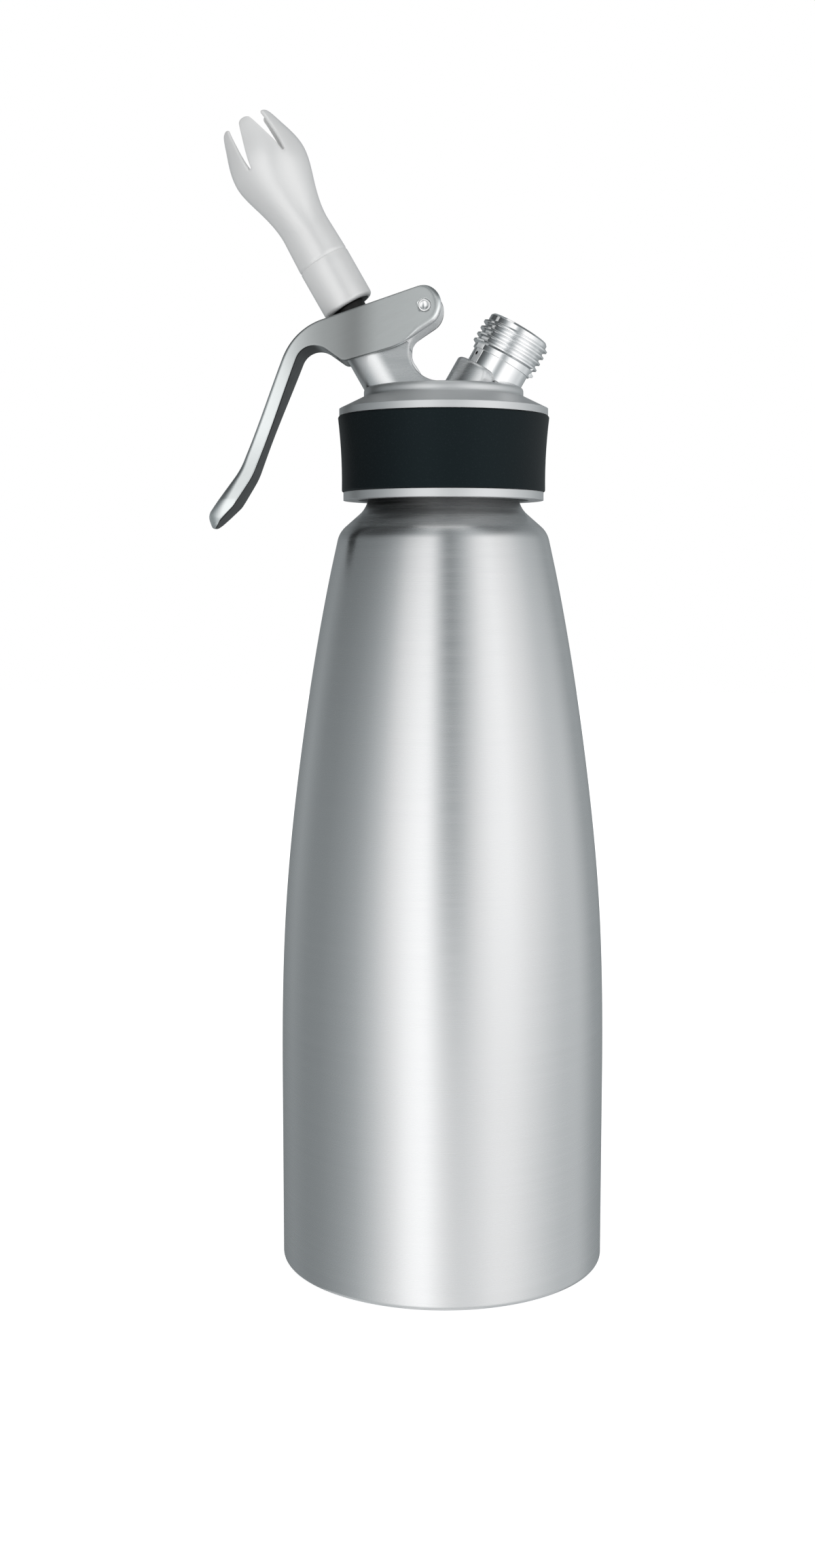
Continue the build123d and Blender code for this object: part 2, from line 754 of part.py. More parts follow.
def make_port_nut():
    top = -seat_depth - 2 * small_play - washer_height
    hexagon = RegularPolygon(nut_width / 2, 6, major_radius=False)
    nut = extrude(Pos(0, 0, top - nut_height) * hexagon, nut_height)
    bore = rod(port_shank_r + small_play, top - nut_height - overshoot, top + overshoot)
    return port_frame * (nut - bore)


def make_needle_carrier():
    flange_top = port_ledge + carrier_flange_height
    plug = port_plug_bore_r - small_play
    carrier = turned([
        (needle_r, port_plug_floor + small_play), (plug, port_plug_floor + small_play), (plug, port_ledge),
        (port_mouth_r - small_play, port_ledge), (port_mouth_r - small_play, flange_top),
        (needle_r, flange_top),
    ])
    return port_frame * carrier


def make_piercing_pin():
    bottom = port_plug_floor + small_play
    top = port_ledge + carrier_flange_height + needle_height
    needle = turned([
        (needle_bore_r, bottom), (needle_r, bottom), (needle_r, top - needle_point),
        (needle_bore_r + needle_edge, top), (needle_bore_r, top),
    ])
    return port_frame * needle


def make_charger_seal():
    bottom = port_ledge + carrier_flange_height
    return port_frame * tube(
        port_mouth_r - small_play, charger_seal_hole_r, bottom, bottom + charger_seal_height)


def make_check_valve_seat():
    top = port_plug_floor
    return port_frame * tube(valve_seat_r, valve_seat_hole_r, top - valve_seat_height, top)


def ball_centre_height():
    """The ball hangs just under the edge of the seat's hole."""
    seat_bottom = port_plug_floor - valve_seat_height
    return seat_bottom - sqrt(ball_r ** 2 - valve_seat_hole_r ** 2) - ball_gap


def make_check_valve_ball():
    return port_frame * (Pos(0, 0, ball_centre_height()) * Sphere(ball_r))


def make_check_valve_spring():
    cradle = sqrt((ball_r + ball_spring_wire_r) ** 2 - ball_spring_r ** 2)
    top = ball_centre_height() - cradle + ball_spring_wire_r - small_play
    bottom = ball_chamber_floor + small_play
    return port_frame * coil(ball_spring_r, ball_spring_wire_r, bottom, top, ball_spring_turns)


pieces = {
    "bottle": make_bottle,
    "head_gasket": make_head_gasket,
    "head_body": make_head_body,
    "silicone_grip": make_silicone_grip,
    "lever": make_lever,
    "lever_pin": make_lever_pin,
    "valve_stem": make_valve_stem,
    "stem_seal": make_stem_seal,
    "stem_o_ring": make_stem_o_ring,
    "spring_cap": make_spring_cap,
    "return_spring": make_return_spring,
    "decorator_tip": make_decorator_tip,
    "tip_insert": make_tip_insert,
    "tip_seal": make_tip_seal,
    "charging_port": make_charging_port,
    "port_o_ring": make_port_o_ring,
    "port_washer": make_port_washer,
    "port_nut": make_port_nut,
    "needle_carrier": make_needle_carrier,
    "piercing_pin": make_piercing_pin,
    "charger_seal": make_charger_seal,
    "check_valve_seat": make_check_valve_seat,
    "check_valve_ball": make_check_valve_ball,
    "check_valve_spring": make_check_valve_spring,
}

os.makedirs("parts", exist_ok=True)
for name, make in pieces.items():
    solid = make()
    print(f"{name}: {len(solid.solids())} solid, {solid.volume:.1f} mm3")
    export_step(solid, f"parts/{name}.step")
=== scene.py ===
from math import cos, pi, radians, sin, tan

import bmesh
import bpy
import numpy as np
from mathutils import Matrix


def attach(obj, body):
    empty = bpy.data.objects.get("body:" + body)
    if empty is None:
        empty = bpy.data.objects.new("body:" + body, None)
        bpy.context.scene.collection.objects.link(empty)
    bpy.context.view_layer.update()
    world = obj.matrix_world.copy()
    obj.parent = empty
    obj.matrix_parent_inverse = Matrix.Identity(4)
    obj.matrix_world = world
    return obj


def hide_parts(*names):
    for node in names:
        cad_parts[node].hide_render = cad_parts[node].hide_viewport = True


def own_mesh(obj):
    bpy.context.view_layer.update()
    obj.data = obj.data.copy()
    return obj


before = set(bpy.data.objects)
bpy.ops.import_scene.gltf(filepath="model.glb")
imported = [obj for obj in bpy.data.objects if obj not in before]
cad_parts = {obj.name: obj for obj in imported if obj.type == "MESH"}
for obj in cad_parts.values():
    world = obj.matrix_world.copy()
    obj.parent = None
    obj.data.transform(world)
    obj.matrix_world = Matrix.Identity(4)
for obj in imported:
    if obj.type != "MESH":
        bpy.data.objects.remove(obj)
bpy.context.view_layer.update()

# Lengths below are millimetres until a mesh is made; the frame and every mesh are in metres.
MM = 0.001

DECK_Z = 277.8                  # flat top of the head
LEAN = radians(30)              # stem to the left, port to the right
STEM_FOOT_X = -14.83
PIVOT = np.array([-5.5, 302.0])  # lever's pin, as (x, z)


# ---- curves and surfaces ----

def line_steps(points):
    """Length along the line up to each of its points."""
    return np.concatenate([[0], np.cumsum(np.linalg.norm(np.diff(points, axis=0), axis=1))])


def smooth_line(points, start, end, count):
    """A cubic through points that leaves along start and arrives along end: its slope at each point
    makes the second derivative run on evenly, and each span is Hermite's blend of ends and slopes."""
    p = np.asarray(points, float)
    step = np.diff(p, axis=0)
    gap = np.linalg.norm(step, axis=1)
    at = line_steps(p)
    n = len(p)
    left, right = np.eye(n), np.zeros((n, 2))
    inner = np.arange(1, n - 1)
    left[inner, inner - 1] = 1 / gap[:-1]
    left[inner, inner] = 2 / gap[:-1] + 2 / gap[1:]
    left[inner, inner + 1] = 1 / gap[1:]
    right[inner] = 3 * (step[:-1] / gap[:-1, None] ** 2 + step[1:] / gap[1:, None] ** 2)
    right[0] = np.asarray(start, float) / np.linalg.norm(start)
    right[-1] = np.asarray(end, float) / np.linalg.norm(end)
    slope = np.linalg.solve(left, right)
    t = np.linspace(0, at[-1], count)
    span = np.clip(np.searchsorted(at, t, side="right") - 1, 0, n - 2)
    u = ((t - at[span]) / gap[span])[:, None]
    h = gap[span][:, None]
    return ((2 * u**3 - 3 * u**2 + 1) * p[span] + (u**3 - 2 * u**2 + u) * h * slope[span]
            + (3 * u**2 - 2 * u**3) * p[span + 1] + (u**3 - u**2) * h * slope[span + 1])


def rounded_line(points, radii, steps):
    """The straight line through points with each inner corner turned on an arc: the arc starts and
    ends at radius times the tangent of half the turn from the corner, about a centre on its inside."""
    p = np.asarray(points, float)
    made = [p[:1]]
    for i, radius in enumerate(radii):
        corner = p[i + 1]
        back = (p[i] - corner) / np.linalg.norm(p[i] - corner)
        on = (p[i + 2] - corner) / np.linalg.norm(p[i + 2] - corner)
        half = np.arccos(np.clip(back @ on, -1, 1)) / 2
        centre = corner + (back + on) / np.linalg.norm(back + on) * radius / sin(half)
        first = corner + back * radius / tan(half) - centre
        last = corner + on * radius / tan(half) - centre
        share = np.linspace(0, 1, steps + 1)[:, None]
        turn = pi - 2 * half
        arc = (np.sin((1 - share) * turn) * first + np.sin(share * turn) * last) / sin(turn)
        made.append(centre + arc)
    made.append(p[-1:])
    return np.concatenate(made)


def stationed_line(points, stations, counts):
    """The same line, cut at the points nearest to the stations into runs of counts equal steps."""
    step = line_steps(points)
    cuts = [step[np.argmin(np.linalg.norm(points - station, axis=1))] for station in stations]
    parts = [np.linspace(a, b, n, endpoint=False) for a, b, n in zip(cuts[:-1], cuts[1:], counts)]
    t = np.concatenate(parts + [[cuts[-1]]])
    return np.stack([np.interp(t, step, points[:, k]) for k in range(points.shape[1])], axis=1)


def inset_ring(ring, inset):
    """A line that ends where it starts, moved to its left by inset, square to the run between each
    point's neighbours."""
    inner = ring[:-1]
    run = np.roll(inner, -1, axis=0) - np.roll(inner, 1, axis=0)
    left = np.stack([-run[:, 1], run[:, 0]], -1) / np.linalg.norm(run, axis=1)[:, None]
    moved = inner + inset * left
    return np.concatenate([moved, moved[:1]])


def line_distance(points, line):
    """Distance of each point from the line: the shortest of its distances to the line's runs, each
    taken at the run's point nearest to it."""
    a, b = line[:-1], line[1:]
    run = b - a
    share = ((points[:, None] - a) * run).sum(-1) / np.maximum((run * run).sum(-1), 1e-12)
    near = a + np.clip(share, 0, 1)[..., None] * run
    return np.linalg.norm(points[:, None] - near, axis=-1).min(1)


def dense_line(points, longest):
    """The same line with every run cut into equal steps no longer than longest."""
    runs = []
    for a, b in zip(points[:-1], points[1:]):
        count = max(1, int(np.ceil(np.linalg.norm(b - a) / longest)))
        runs.append(a + (b - a) * np.linspace(0, 1, count, endpoint=False)[:, None])
    return np.concatenate(runs + [points[-1:]])


def smoothstep(t):
    """0 below 0, 1 above 1, and 3t^2 - 2t^3 between."""
    t = np.clip(t, 0, 1)
    return t * t * (3 - 2 * t)


def lean_points(points, foot_x, side):
    """Points of an upright piece laid on its slanted axis: side is -1 for the stem, 1 for the port."""
    x, y, s = np.moveaxis(points, -1, 0)
    out = foot_x + x * cos(LEAN) + side * s * sin(LEAN)
    up = DECK_Z - side * x * sin(LEAN) + s * cos(LEAN)
    return np.stack([out, y, up], axis=-1)


def new_object(name, data):
    made = bpy.data.objects.new(name, data)
    bpy.context.scene.collection.objects.link(made)
    return made


def mesh_piece(name, points, quads, material, uv=None, sharp=40):
    """A mesh object from millimetre points (n, 3) and faces (m, 4) or a list of them, smooth but for
    edges that turn more than sharp degrees."""
    mesh = bpy.data.meshes.new(name)
    faces = quads.tolist() if isinstance(quads, np.ndarray) else quads
    mesh.from_pydata((np.asarray(points, float) * MM).tolist(), [], faces)
    if uv is not None:
        layer = mesh.uv_layers.new(name="UVMap")
        layer.data.foreach_set("uv", np.asarray(uv, np.float32).reshape(-1))
    finish_mesh(mesh, sharp)
    mesh.materials.append(material)
    return new_object(name, mesh)


def finish_mesh(mesh, sharp):
    """Smooth faces with sharp edges over that angle in degrees."""
    mesh.validate(clean_customdata=False)
    mesh.polygons.foreach_set("use_smooth", np.ones(len(mesh.polygons), bool))
    mesh.set_sharp_from_angle(angle=radians(sharp))
    mesh.update()


def merge_corners(piece, nearest=2e-6, slivers=True):
    """Merges corners that are nearest metres apart or less, drops faces with no area where slivers
    says so, and turns all faces outwards."""
    b = bmesh.new()
    b.from_mesh(piece.data)
    bmesh.ops.remove_doubles(b, verts=b.verts, dist=nearest)
    if slivers:
        bmesh.ops.dissolve_degenerate(b, edges=b.edges, dist=1e-7)
    bmesh.ops.recalc_face_normals(b, faces=b.faces)
    b.to_mesh(piece.data)
    b.free()


def grid_faces(rows, columns, wrap):
    """Quads of a rows x columns grid of points numbered row by row; wrap joins the last column to
    the first."""
    i, j = np.meshgrid(np.arange(rows - 1), np.arange(columns if wrap else columns - 1), indexing="ij")
    k = (j + 1) % columns
    corners = [i * columns + j, i * columns + k, (i + 1) * columns + k, (i + 1) * columns + j]
    return np.stack(corners, -1).reshape(-1, 4)


def turned_piece(name, outline, material, around, sharp=40, place=None, radius_at=None):
    """A closed solid of revolution: outline is (radius, height) from the axis round the section and
    back to the axis, x = r cos a, y = r sin a, with around facets. radius_at(angle, r, z) may change
    the radius, and place lays the points elsewhere. U runs round the axis and V along the outline,
    both in metres, so that brushing can follow."""
    r, z = np.asarray(outline, float).T
    a = np.arange(around) * 2 * pi / around
    angle, radius = np.meshgrid(a, r)
    height = np.broadcast_to(z[:, None], radius.shape)
    if radius_at is not None:
        radius = radius_at(angle, radius, height)
    points = np.stack([radius * np.cos(angle), radius * np.sin(angle), height], -1)
    if place is not None:
        points = place(points)
    quads = grid_faces(len(r), around, True)
    along = line_steps(outline)
    row, column = np.divmod(quads, around)
    last = (np.arange(len(quads)) % around) == around - 1
    column = column.astype(float)
    column[last, 1:3] = around
    uv = np.stack([column / around * 2 * pi * r.max() * MM, along[row] * MM], -1)
    piece = mesh_piece(name, points.reshape(-1, 3), quads, material, uv, sharp)
    merge_corners(piece, 1e-7, slivers=False)
    return piece


# ---- shader building blocks ----

def cool_grey(level):
    """A grey of that brightness, a little blue-green where it is dark."""
    cool = 1 - min(1, max(0, (level - 0.3) / 0.8))
    return level * (1 - 0.075 * cool), level, level * (1 + 0.03 * cool), 1


def add(tree, kind, **settings):
    """A new node, laid out to the right of the one before."""
    node = tree.nodes.new(kind)
    node.location = (220 * len(tree.nodes), 0)
    for key, value in settings.items():
        setattr(node, key, value)
    return node


def feed(socket, value):
    """Links the socket to value where that is an output, or else sets the socket to it."""
    if isinstance(value, bpy.types.NodeSocket):
        socket.id_data.links.new(value, socket)
    else:
        socket.default_value = value


def wire(node, **values):
    """Feeds a node's sockets by their names, written with _ for a space."""
    for title, value in values.items():
        feed(node.inputs[title.replace("_", " ")], value)
    return node


def maths(tree, operation, *values, clamp=False):
    """The result of a Math node on outputs or numbers."""
    node = add(tree, "ShaderNodeMath", operation=operation, use_clamp=clamp)
    for socket, value in zip(node.inputs, values):
        feed(socket, value)
    return node.outputs[0]


def vectors(tree, operation, *values):
    """The result of a Vector Math node on outputs or vectors; lengths and products are numbers."""
    node = add(tree, "ShaderNodeVectorMath", operation=operation)
    for socket, value in zip(node.inputs, values):
        feed(socket, value)
    return node.outputs["Value" if operation in ("LENGTH", "DOT_PRODUCT") else "Vector"]


def scaled(tree, colour, factor):
    """The colour times the factor."""
    node = wire(add(tree, "ShaderNodeVectorMath", operation="SCALE"), Scale=factor)
    feed(node.inputs[0], colour)
    return node.outputs[0]


def between(tree, value, start, end, low=0.0, high=1.0, smooth=True):
    """Low where value is at start and high where it is at end, on a smooth or a straight line."""
    node = add(tree, "ShaderNodeMapRange", interpolation_type="SMOOTHSTEP" if smooth else "LINEAR")
    wire(node, Value=value, From_Min=start, From_Max=end, To_Min=low, To_Max=high)
    return node.outputs["Result"]


def noise(tree, vector, scale, detail, roughness=0.5):
    node = add(tree, "ShaderNodeTexNoise")
    wire(node, Vector=vector, Scale=scale, Detail=detail, Roughness=roughness)
    return node.outputs["Fac"]


def mixed(tree, share, first, second):
    node = wire(add(tree, "ShaderNodeMix", data_type="RGBA"), Factor=share, A=first, B=second)
    return node.outputs["Result"]


def rounded_normal(tree, radius):
    """The normal of the surface with its edges rounded over that radius in metres."""
    return wire(add(tree, "ShaderNodeBevel", samples=6), Radius=radius).outputs[0]


def bump(shader, distance, **values):
    """Gives the shader a bumped surface."""
    node = wire(add(shader.id_data, "ShaderNodeBump"), Distance=distance, **values)
    wire(shader, Normal=node.outputs[0])


def object_place(tree):
    """The object's own coordinates and normal."""
    place = add(tree, "ShaderNodeTexCoord")
    return place.outputs["Object"], place.outputs["Normal"]


def apart(tree, vector):
    """X, Y and Z of a vector."""
    node = add(tree, "ShaderNodeSeparateXYZ")
    feed(node.inputs[0], vector)
    return node.outputs


def colour_ramp(tree, value, stops, interpolation="LINEAR"):
    """Colours by value: stops are (share of the way, colour)."""
    ramp = wire(add(tree, "ShaderNodeValToRGB"), Fac=value)
    ramp.color_ramp.interpolation = interpolation
    while len(ramp.color_ramp.elements) < len(stops):
        ramp.color_ramp.elements.new(0.5)
    for element, (share, colour) in zip(ramp.color_ramp.elements, stops):
        element.position = share
        element.color = colour
    return ramp.outputs["Color"]


def new_group(name, inputs, outputs):
    """An empty node group with what it takes and gives: inputs and outputs name each socket's type."""
    tree = bpy.data.node_groups.new(name, "ShaderNodeTree")
    for way, sockets in (("INPUT", inputs), ("OUTPUT", outputs)):
        for title, kind in sockets.items():
            tree.interface.new_socket(title, in_out=way, socket_type="NodeSocket" + kind)
    return tree, add(tree, "NodeGroupInput").outputs, add(tree, "NodeGroupOutput")


def use_group(tree, group, **values):
    return wire(add(tree, "ShaderNodeGroup", node_tree=group), **values).outputs


def new_material(name, kind="ShaderNodeBsdfPrincipled"):
    """A material with its tree and its only shader."""
    material = bpy.data.materials.new(name)
    material.use_nodes = True
    tree = material.node_tree
    tree.nodes.clear()
    shader = add(tree, kind)
    wire(add(tree, "ShaderNodeOutputMaterial"), Surface=shader.outputs[0])
    return material, tree, shader


def opened(material):
    """A finished material's tree and shader, to add to."""
    tree = material.node_tree
    return tree, next(node for node in tree.nodes if node.type == "BSDF_PRINCIPLED")


def fed_by(shader, title):
    """The output that feeds one of the shader's sockets."""
    return shader.inputs[title].links[0].from_socket


def brushing_group():
    """Fine parallel scratches: a fine and a broad noise along one direction, as a factor on the
    colour, an addition to the roughness and a height. Coordinates come in already stretched, so the
    scratches run along the direction with the smallest scale."""
    tree, taken, given = new_group(
        "brushing", dict(Vector="Vector", Colour="Color", Roughness="Float", Tone="Float", Depth="Float"),
        dict(Colour="Color", Roughness="Float", Height="Float"))
    broad_scale, broad_share, rough_share = 0.13, 0.6, 0.22
    fine = noise(tree, taken["Vector"], 1.0, 5.0, 0.75)
    broad = noise(tree, taken["Vector"], broad_scale, 3.0)
    both = maths(tree, "MULTIPLY_ADD", broad, broad_share, maths(tree, "MULTIPLY", fine, 1 - broad_share))
    centred = maths(tree, "SUBTRACT", both, 0.5)
    tone = maths(tree, "MULTIPLY_ADD", centred, taken["Tone"], 1.0)
    wire(given, Colour=scaled(tree, taken["Colour"], tone),
         Roughness=maths(tree, "MULTIPLY_ADD", centred, rough_share, taken["Roughness"]),
         Height=maths(tree, "MULTIPLY", both, taken["Depth"]))
    return tree


def grain_group():
    """Moulded surface: fine rounded grain as a height, and a few specks as a mask."""
    tree, taken, given = new_group(
        "moulded_grain", dict(Vector="Vector", Scale="Float", Specks="Float"),
        dict(Mask="Float", Height="Float"))
    speck_share, speck_rim, speck_core = 0.45, 0.35, 0.05
    speck_scale = maths(tree, "MULTIPLY", taken["Scale"], speck_share)
    specks = wire(add(tree, "ShaderNodeTexVoronoi"), Vector=taken["Vector"], Scale=speck_scale)
    near = between(tree, specks.outputs["Distance"], speck_rim, speck_core, smooth=False)
    wire(given, Mask=maths(tree, "MULTIPLY", near, taken["Specks"]),
         Height=noise(tree, taken["Vector"], taken["Scale"], 3.0))
    return tree


def edge_highlight_group():
    """Painted highlight on edges: where the rounded normal leaves the true one, as a mask."""
    tree, taken, given = new_group(
        "painted_edge_highlight", dict(Radius="Float", Strength="Float"), dict(Mask="Float"))
    true = add(tree, "ShaderNodeNewGeometry").outputs["Normal"]
    alike = vectors(tree, "DOT_PRODUCT", rounded_normal(tree, taken["Radius"]), true)
    off = maths(tree, "SUBTRACT", 1.0, alike)
    wire(given, Mask=maths(tree, "MULTIPLY", off, taken["Strength"], clamp=True))
    return tree


# Colour of the painted highlight on edges.
EDGE_HIGHLIGHT_COLOUR = (0.84, 0.85, 0.86, 1)
BRUSHING = brushing_group()
GRAIN = grain_group()
EDGE_HIGHLIGHT_GROUP = edge_highlight_group()


def paint_edge_highlights(tree, colour, radius, strength):
    """The colour, with a painted highlight on its edges."""
    edge_highlight = use_group(tree, EDGE_HIGHLIGHT_GROUP, Radius=radius, Strength=strength)
    return mixed(tree, edge_highlight["Mask"], colour, EDGE_HIGHLIGHT_COLOUR)


def steel(name, colour, roughness, stretch, turn=(0, 0, 0), tone=0.1, depth=0.2, anisotropic=0.0,
          tangent=None, edge=0.4 * MM, edge_highlight=0.0, metallic=1.0):
    """Brushed or turned steel. stretch is the noise's scale along x, y and z of the object, per
    metre, after turning it by turn; tangent is None, an axis to run round, or "UV". Edges are
    rounded over edge, and given a painted highlight as strong as the argument after edge."""
    material, tree, shader = new_material(name)
    turned = wire(add(tree, "ShaderNodeMapping"), Vector=object_place(tree)[0], Rotation=turn)
    marks = use_group(
        tree, BRUSHING, Vector=vectors(tree, "MULTIPLY", turned.outputs[0], stretch), Colour=(*colour, 1),
        Roughness=roughness, Tone=tone, Depth=depth)
    bump(shader, 0.02 * MM, Height=marks["Height"], Normal=rounded_normal(tree, edge))
    shown = paint_edge_highlights(tree, marks["Colour"], edge, edge_highlight) if edge_highlight else marks["Colour"]
    wire(shader, Base_Color=shown, Roughness=marks["Roughness"], Metallic=metallic,
         Anisotropic=anisotropic, Anisotropic_Rotation=0.25)
    if tangent == "UV":
        line = add(tree, "ShaderNodeTangent", direction_type="UV_MAP", uv_map="UVMap")
        wire(shader, Tangent=line.outputs[0])
    elif tangent:
        line = add(tree, "ShaderNodeTangent", direction_type="RADIAL", axis=tangent)
        wire(shader, Tangent=line.outputs[0])
    return material


NECK_SHADE_Z = (226 * MM, 242 * MM)    # heights between which the painted shade sets in
NECK_SHADE_X = (6 * MM, -18 * MM)      # from its faint right side to its full left side
NECK_SHADE = (0.15, 1.0)               # how strong it is on those sides
NECK_SHADE_STREAKS = (35, 35, 420)           # its noise's scale along x, y and z, per metre


def paint_neck_shade(material):
    """Paints shade on the bottle's neck and shoulder under the head's flange, with the flange's dark
    reflection, in soft streaks that run round it, most on its left.
    """
    tree, shader = opened(material)
    place, _ = object_place(tree)
    x, _, z = apart(tree, place)
    streaks = noise(tree, vectors(tree, "MULTIPLY", place, NECK_SHADE_STREAKS), 1.0, 3.0)
    depth = between(tree, streaks, 0.35, 0.65, 0.75, 0.15, smooth=False)
    sides = between(tree, x, *NECK_SHADE_X, *NECK_SHADE)
    fall = maths(tree, "MULTIPLY", maths(tree, "MULTIPLY", between(tree, z, *NECK_SHADE_Z), sides), depth)
    left = maths(tree, "SUBTRACT", 1.0, fall)
    wire(shader, Base_Color=scaled(tree, fed_by(shader, "Base Color"), left))


FLANGE_DULL_R = (23.6 * MM, 24.6 * MM)  # distances from the axis between which it gets duller,
FLANGE_DULL = 0.2                       # and by how much
FLANGE_EDGE_R = (25.5 * MM, 26.5 * MM)  # distances between which its edges get sharper,
HEAD_EDGE = (1.5 * MM, 0.3 * MM)        # and their radii there


def dull_flanges(material):
    """Roughens the head's steel outside its platform, on the two flanges, and rounds its edges less
    there than inside them."""
    tree, shader = opened(material)
    reach = vectors(tree, "LENGTH", vectors(tree, "MULTIPLY", object_place(tree)[0], (1, 1, 0)))
    rounding = between(tree, reach, *FLANGE_EDGE_R, *HEAD_EDGE, smooth=False)
    for node in tree.nodes:
        if node.type == "BEVEL" or node.type == "GROUP" and node.node_tree == EDGE_HIGHLIGHT_GROUP:
            wire(node, Radius=rounding)
    outside = between(tree, reach, *FLANGE_DULL_R, 0.0, FLANGE_DULL)
    wire(shader, Roughness=maths(tree, "ADD", fed_by(shader, "Roughness"), outside))


# Painted reflection on the lever's steel: how bright it is painted by x in millimetres, a bright grip and a
# darker bend and cheeks, which are also rougher, as satin.
LEVER_PAINTED_REFLECTION = [
    (-76, 0.91), (-56, 0.91), (-49, 0.83), (-44, 0.60), (-38, 0.43), (-33, 0.41),
    (-28, 0.29), (-24.5, 0.36), (-20, 0.55), (-15, 0.55), (-6, 0.62), (2, 0.62),
]
LEVER_DULL = 0.22               # how much rougher the steel gets where it is dark
LEVER_INSIDE = (0.8, 0, -0.6)   # the way its inner side faces: down and to the bottle
GRIP_PAINTED_SHADE = -0.95              # painted shade inside the grip, as a change of brightness,
GRIP_PAINTED_SHADE_X = (-31 * MM, -34 * MM)     # and where it sets in
PIVOT_PAINTED_HIGHLIGHT = 1.5               # painted highlight under the cheeks by the pivot, as a change of brightness,
PIVOT_PAINTED_HIGHLIGHT_X = (-17 * MM, -10 * MM)    # and where it sets in


def paint_lever_light(material):
    """Paints reflection into the colour of the lever's steel, darker and rougher on its cheeks than
    on its grip, paints shade on the grip's inner side, which faces down and to the bottle, paints a
    highlight on the cheeks' undersides by the pivot, and paints highlights on its edges."""
    tree, shader = opened(material)
    place, normal = object_place(tree)
    x = apart(tree, place)["X"]
    left, right = LEVER_PAINTED_REFLECTION[0][0], LEVER_PAINTED_REFLECTION[-1][0]
    stops = [((at - left) / (right - left), (level, level, level, 1)) for at, level in LEVER_PAINTED_REFLECTION]
    ramp = colour_ramp(tree, between(tree, x, left * MM, right * MM, smooth=False), stops, "B_SPLINE")
    inner = between(tree, vectors(tree, "DOT_PRODUCT", normal, LEVER_INSIDE), 0.3, 0.7)
    shade = 1.0
    for span, change in ((GRIP_PAINTED_SHADE_X, GRIP_PAINTED_SHADE), (PIVOT_PAINTED_HIGHLIGHT_X, PIVOT_PAINTED_HIGHLIGHT)):
        there = maths(tree, "MULTIPLY", inner, between(tree, x, *span))
        shade = maths(tree, "MULTIPLY_ADD", there, change, shade)
    shown = vectors(tree, "MULTIPLY", fed_by(shader, "Base Color"), scaled(tree, ramp, shade))
    dull = maths(tree, "MULTIPLY_ADD", ramp, -LEVER_DULL, fed_by(shader, "Roughness"))
    wire(shader, Base_Color=paint_edge_highlights(tree, shown, 0.4 * MM, 1.3),
         Roughness=maths(tree, "ADD", dull, LEVER_DULL))


def moulded(name, colour, roughness, specular, specks, speck_colour, scale, depth, tint=(1, 1, 1), **finish):
    """Moulded rubber or plastic: fine grain in its height, and specks in its colour. finish holds
    more of the shader's sockets."""
    material, tree, shader = new_material(name)
    grain = use_group(tree, GRAIN, Vector=object_place(tree)[0], Scale=scale, Specks=specks)
    bump(shader, depth, Height=grain["Height"])
    wire(shader, Base_Color=mixed(tree, grain["Mask"], (*colour, 1), (*speck_colour, 1)),
         Roughness=roughness, Specular_IOR_Level=specular, Specular_Tint=(*tint, 1), **finish)
    return material


def gloss_outside(material):
    """Gives the tip its gloss on its outer side only, and leaves the cut edges of its slots and its
    inside plain: where the surface faces away from the stem's axis, in coordinates turned upright."""
    tree, shader = opened(material)
    place, normal = object_place(tree)
    outward = []
    for source in (vectors(tree, "SUBTRACT", place, (STEM_FOOT_X * MM, 0, DECK_Z * MM)), normal):
        upright = add(tree, "ShaderNodeVectorRotate", rotation_type="Y_AXIS")
        wire(upright, Vector=source, Angle=LEAN)
        level = vectors(tree, "MULTIPLY", upright.outputs[0], (1, 1, 0))
        outward.append(vectors(tree, "NORMALIZE", level))
    alike = vectors(tree, "DOT_PRODUCT", *outward)
    wire(shader, Coat_Weight=between(tree, alike, 0.6, 0.95))


# ---- materials ----

bottle_steel = steel("bottle_steel", (0.66, 0.665, 0.67), 0.27, (14, 14, 2600), tone=0.11, depth=0.26,
                     anisotropic=0.75, tangent="UV")
paint_neck_shade(bottle_steel)
# The head's steel gets a painted highlight on its edges.
head_steel = steel("head_steel", (0.67, 0.68, 0.685), 0.27, (160, 160, 2600), tone=0.18, depth=0.4,
                   anisotropic=0.2, tangent="Z", edge=1.2 * MM, edge_highlight=0.9)
dull_flanges(head_steel)
lever_steel = steel("lever_steel", (0.768, 0.80, 0.80), 0.30, (900, 2600, 4200),
                    turn=(0, radians(25), 0), tone=0.30, depth=0.5)
paint_lever_light(lever_steel)
# A lighter, half diffuse copy of the head's steel for the web's back: painted light where it lies in shade
# between the cheeks.
web_steel_painted_light = steel("web_steel_painted_light", (0.96, 0.97, 0.975), 0.42, (160, 160, 2600), tone=0.15, depth=0.4,
                  edge=0.3 * MM, metallic=0.4)
port_chrome = steel("port_chrome", (0.86, 0.865, 0.87), 0.07, (900, 900, 2600), turn=(0, LEAN, 0),
                    tone=0.12, depth=0.3, edge=0.2 * MM)
plain_steel = steel("plain_steel", (0.66, 0.66, 0.65), 0.2, (900, 2600, 900))
pin_steel = steel("pin_steel", (0.8, 0.8, 0.8), 0.16, (900, 2600, 900), edge=0.1 * MM)
spring_steel = steel("spring_steel", (0.5, 0.5, 0.5), 0.3, (900, 900, 900), edge=0.1 * MM)
needle_brass = steel("needle_brass", (0.72, 0.55, 0.28), 0.25, (900, 900, 2600))

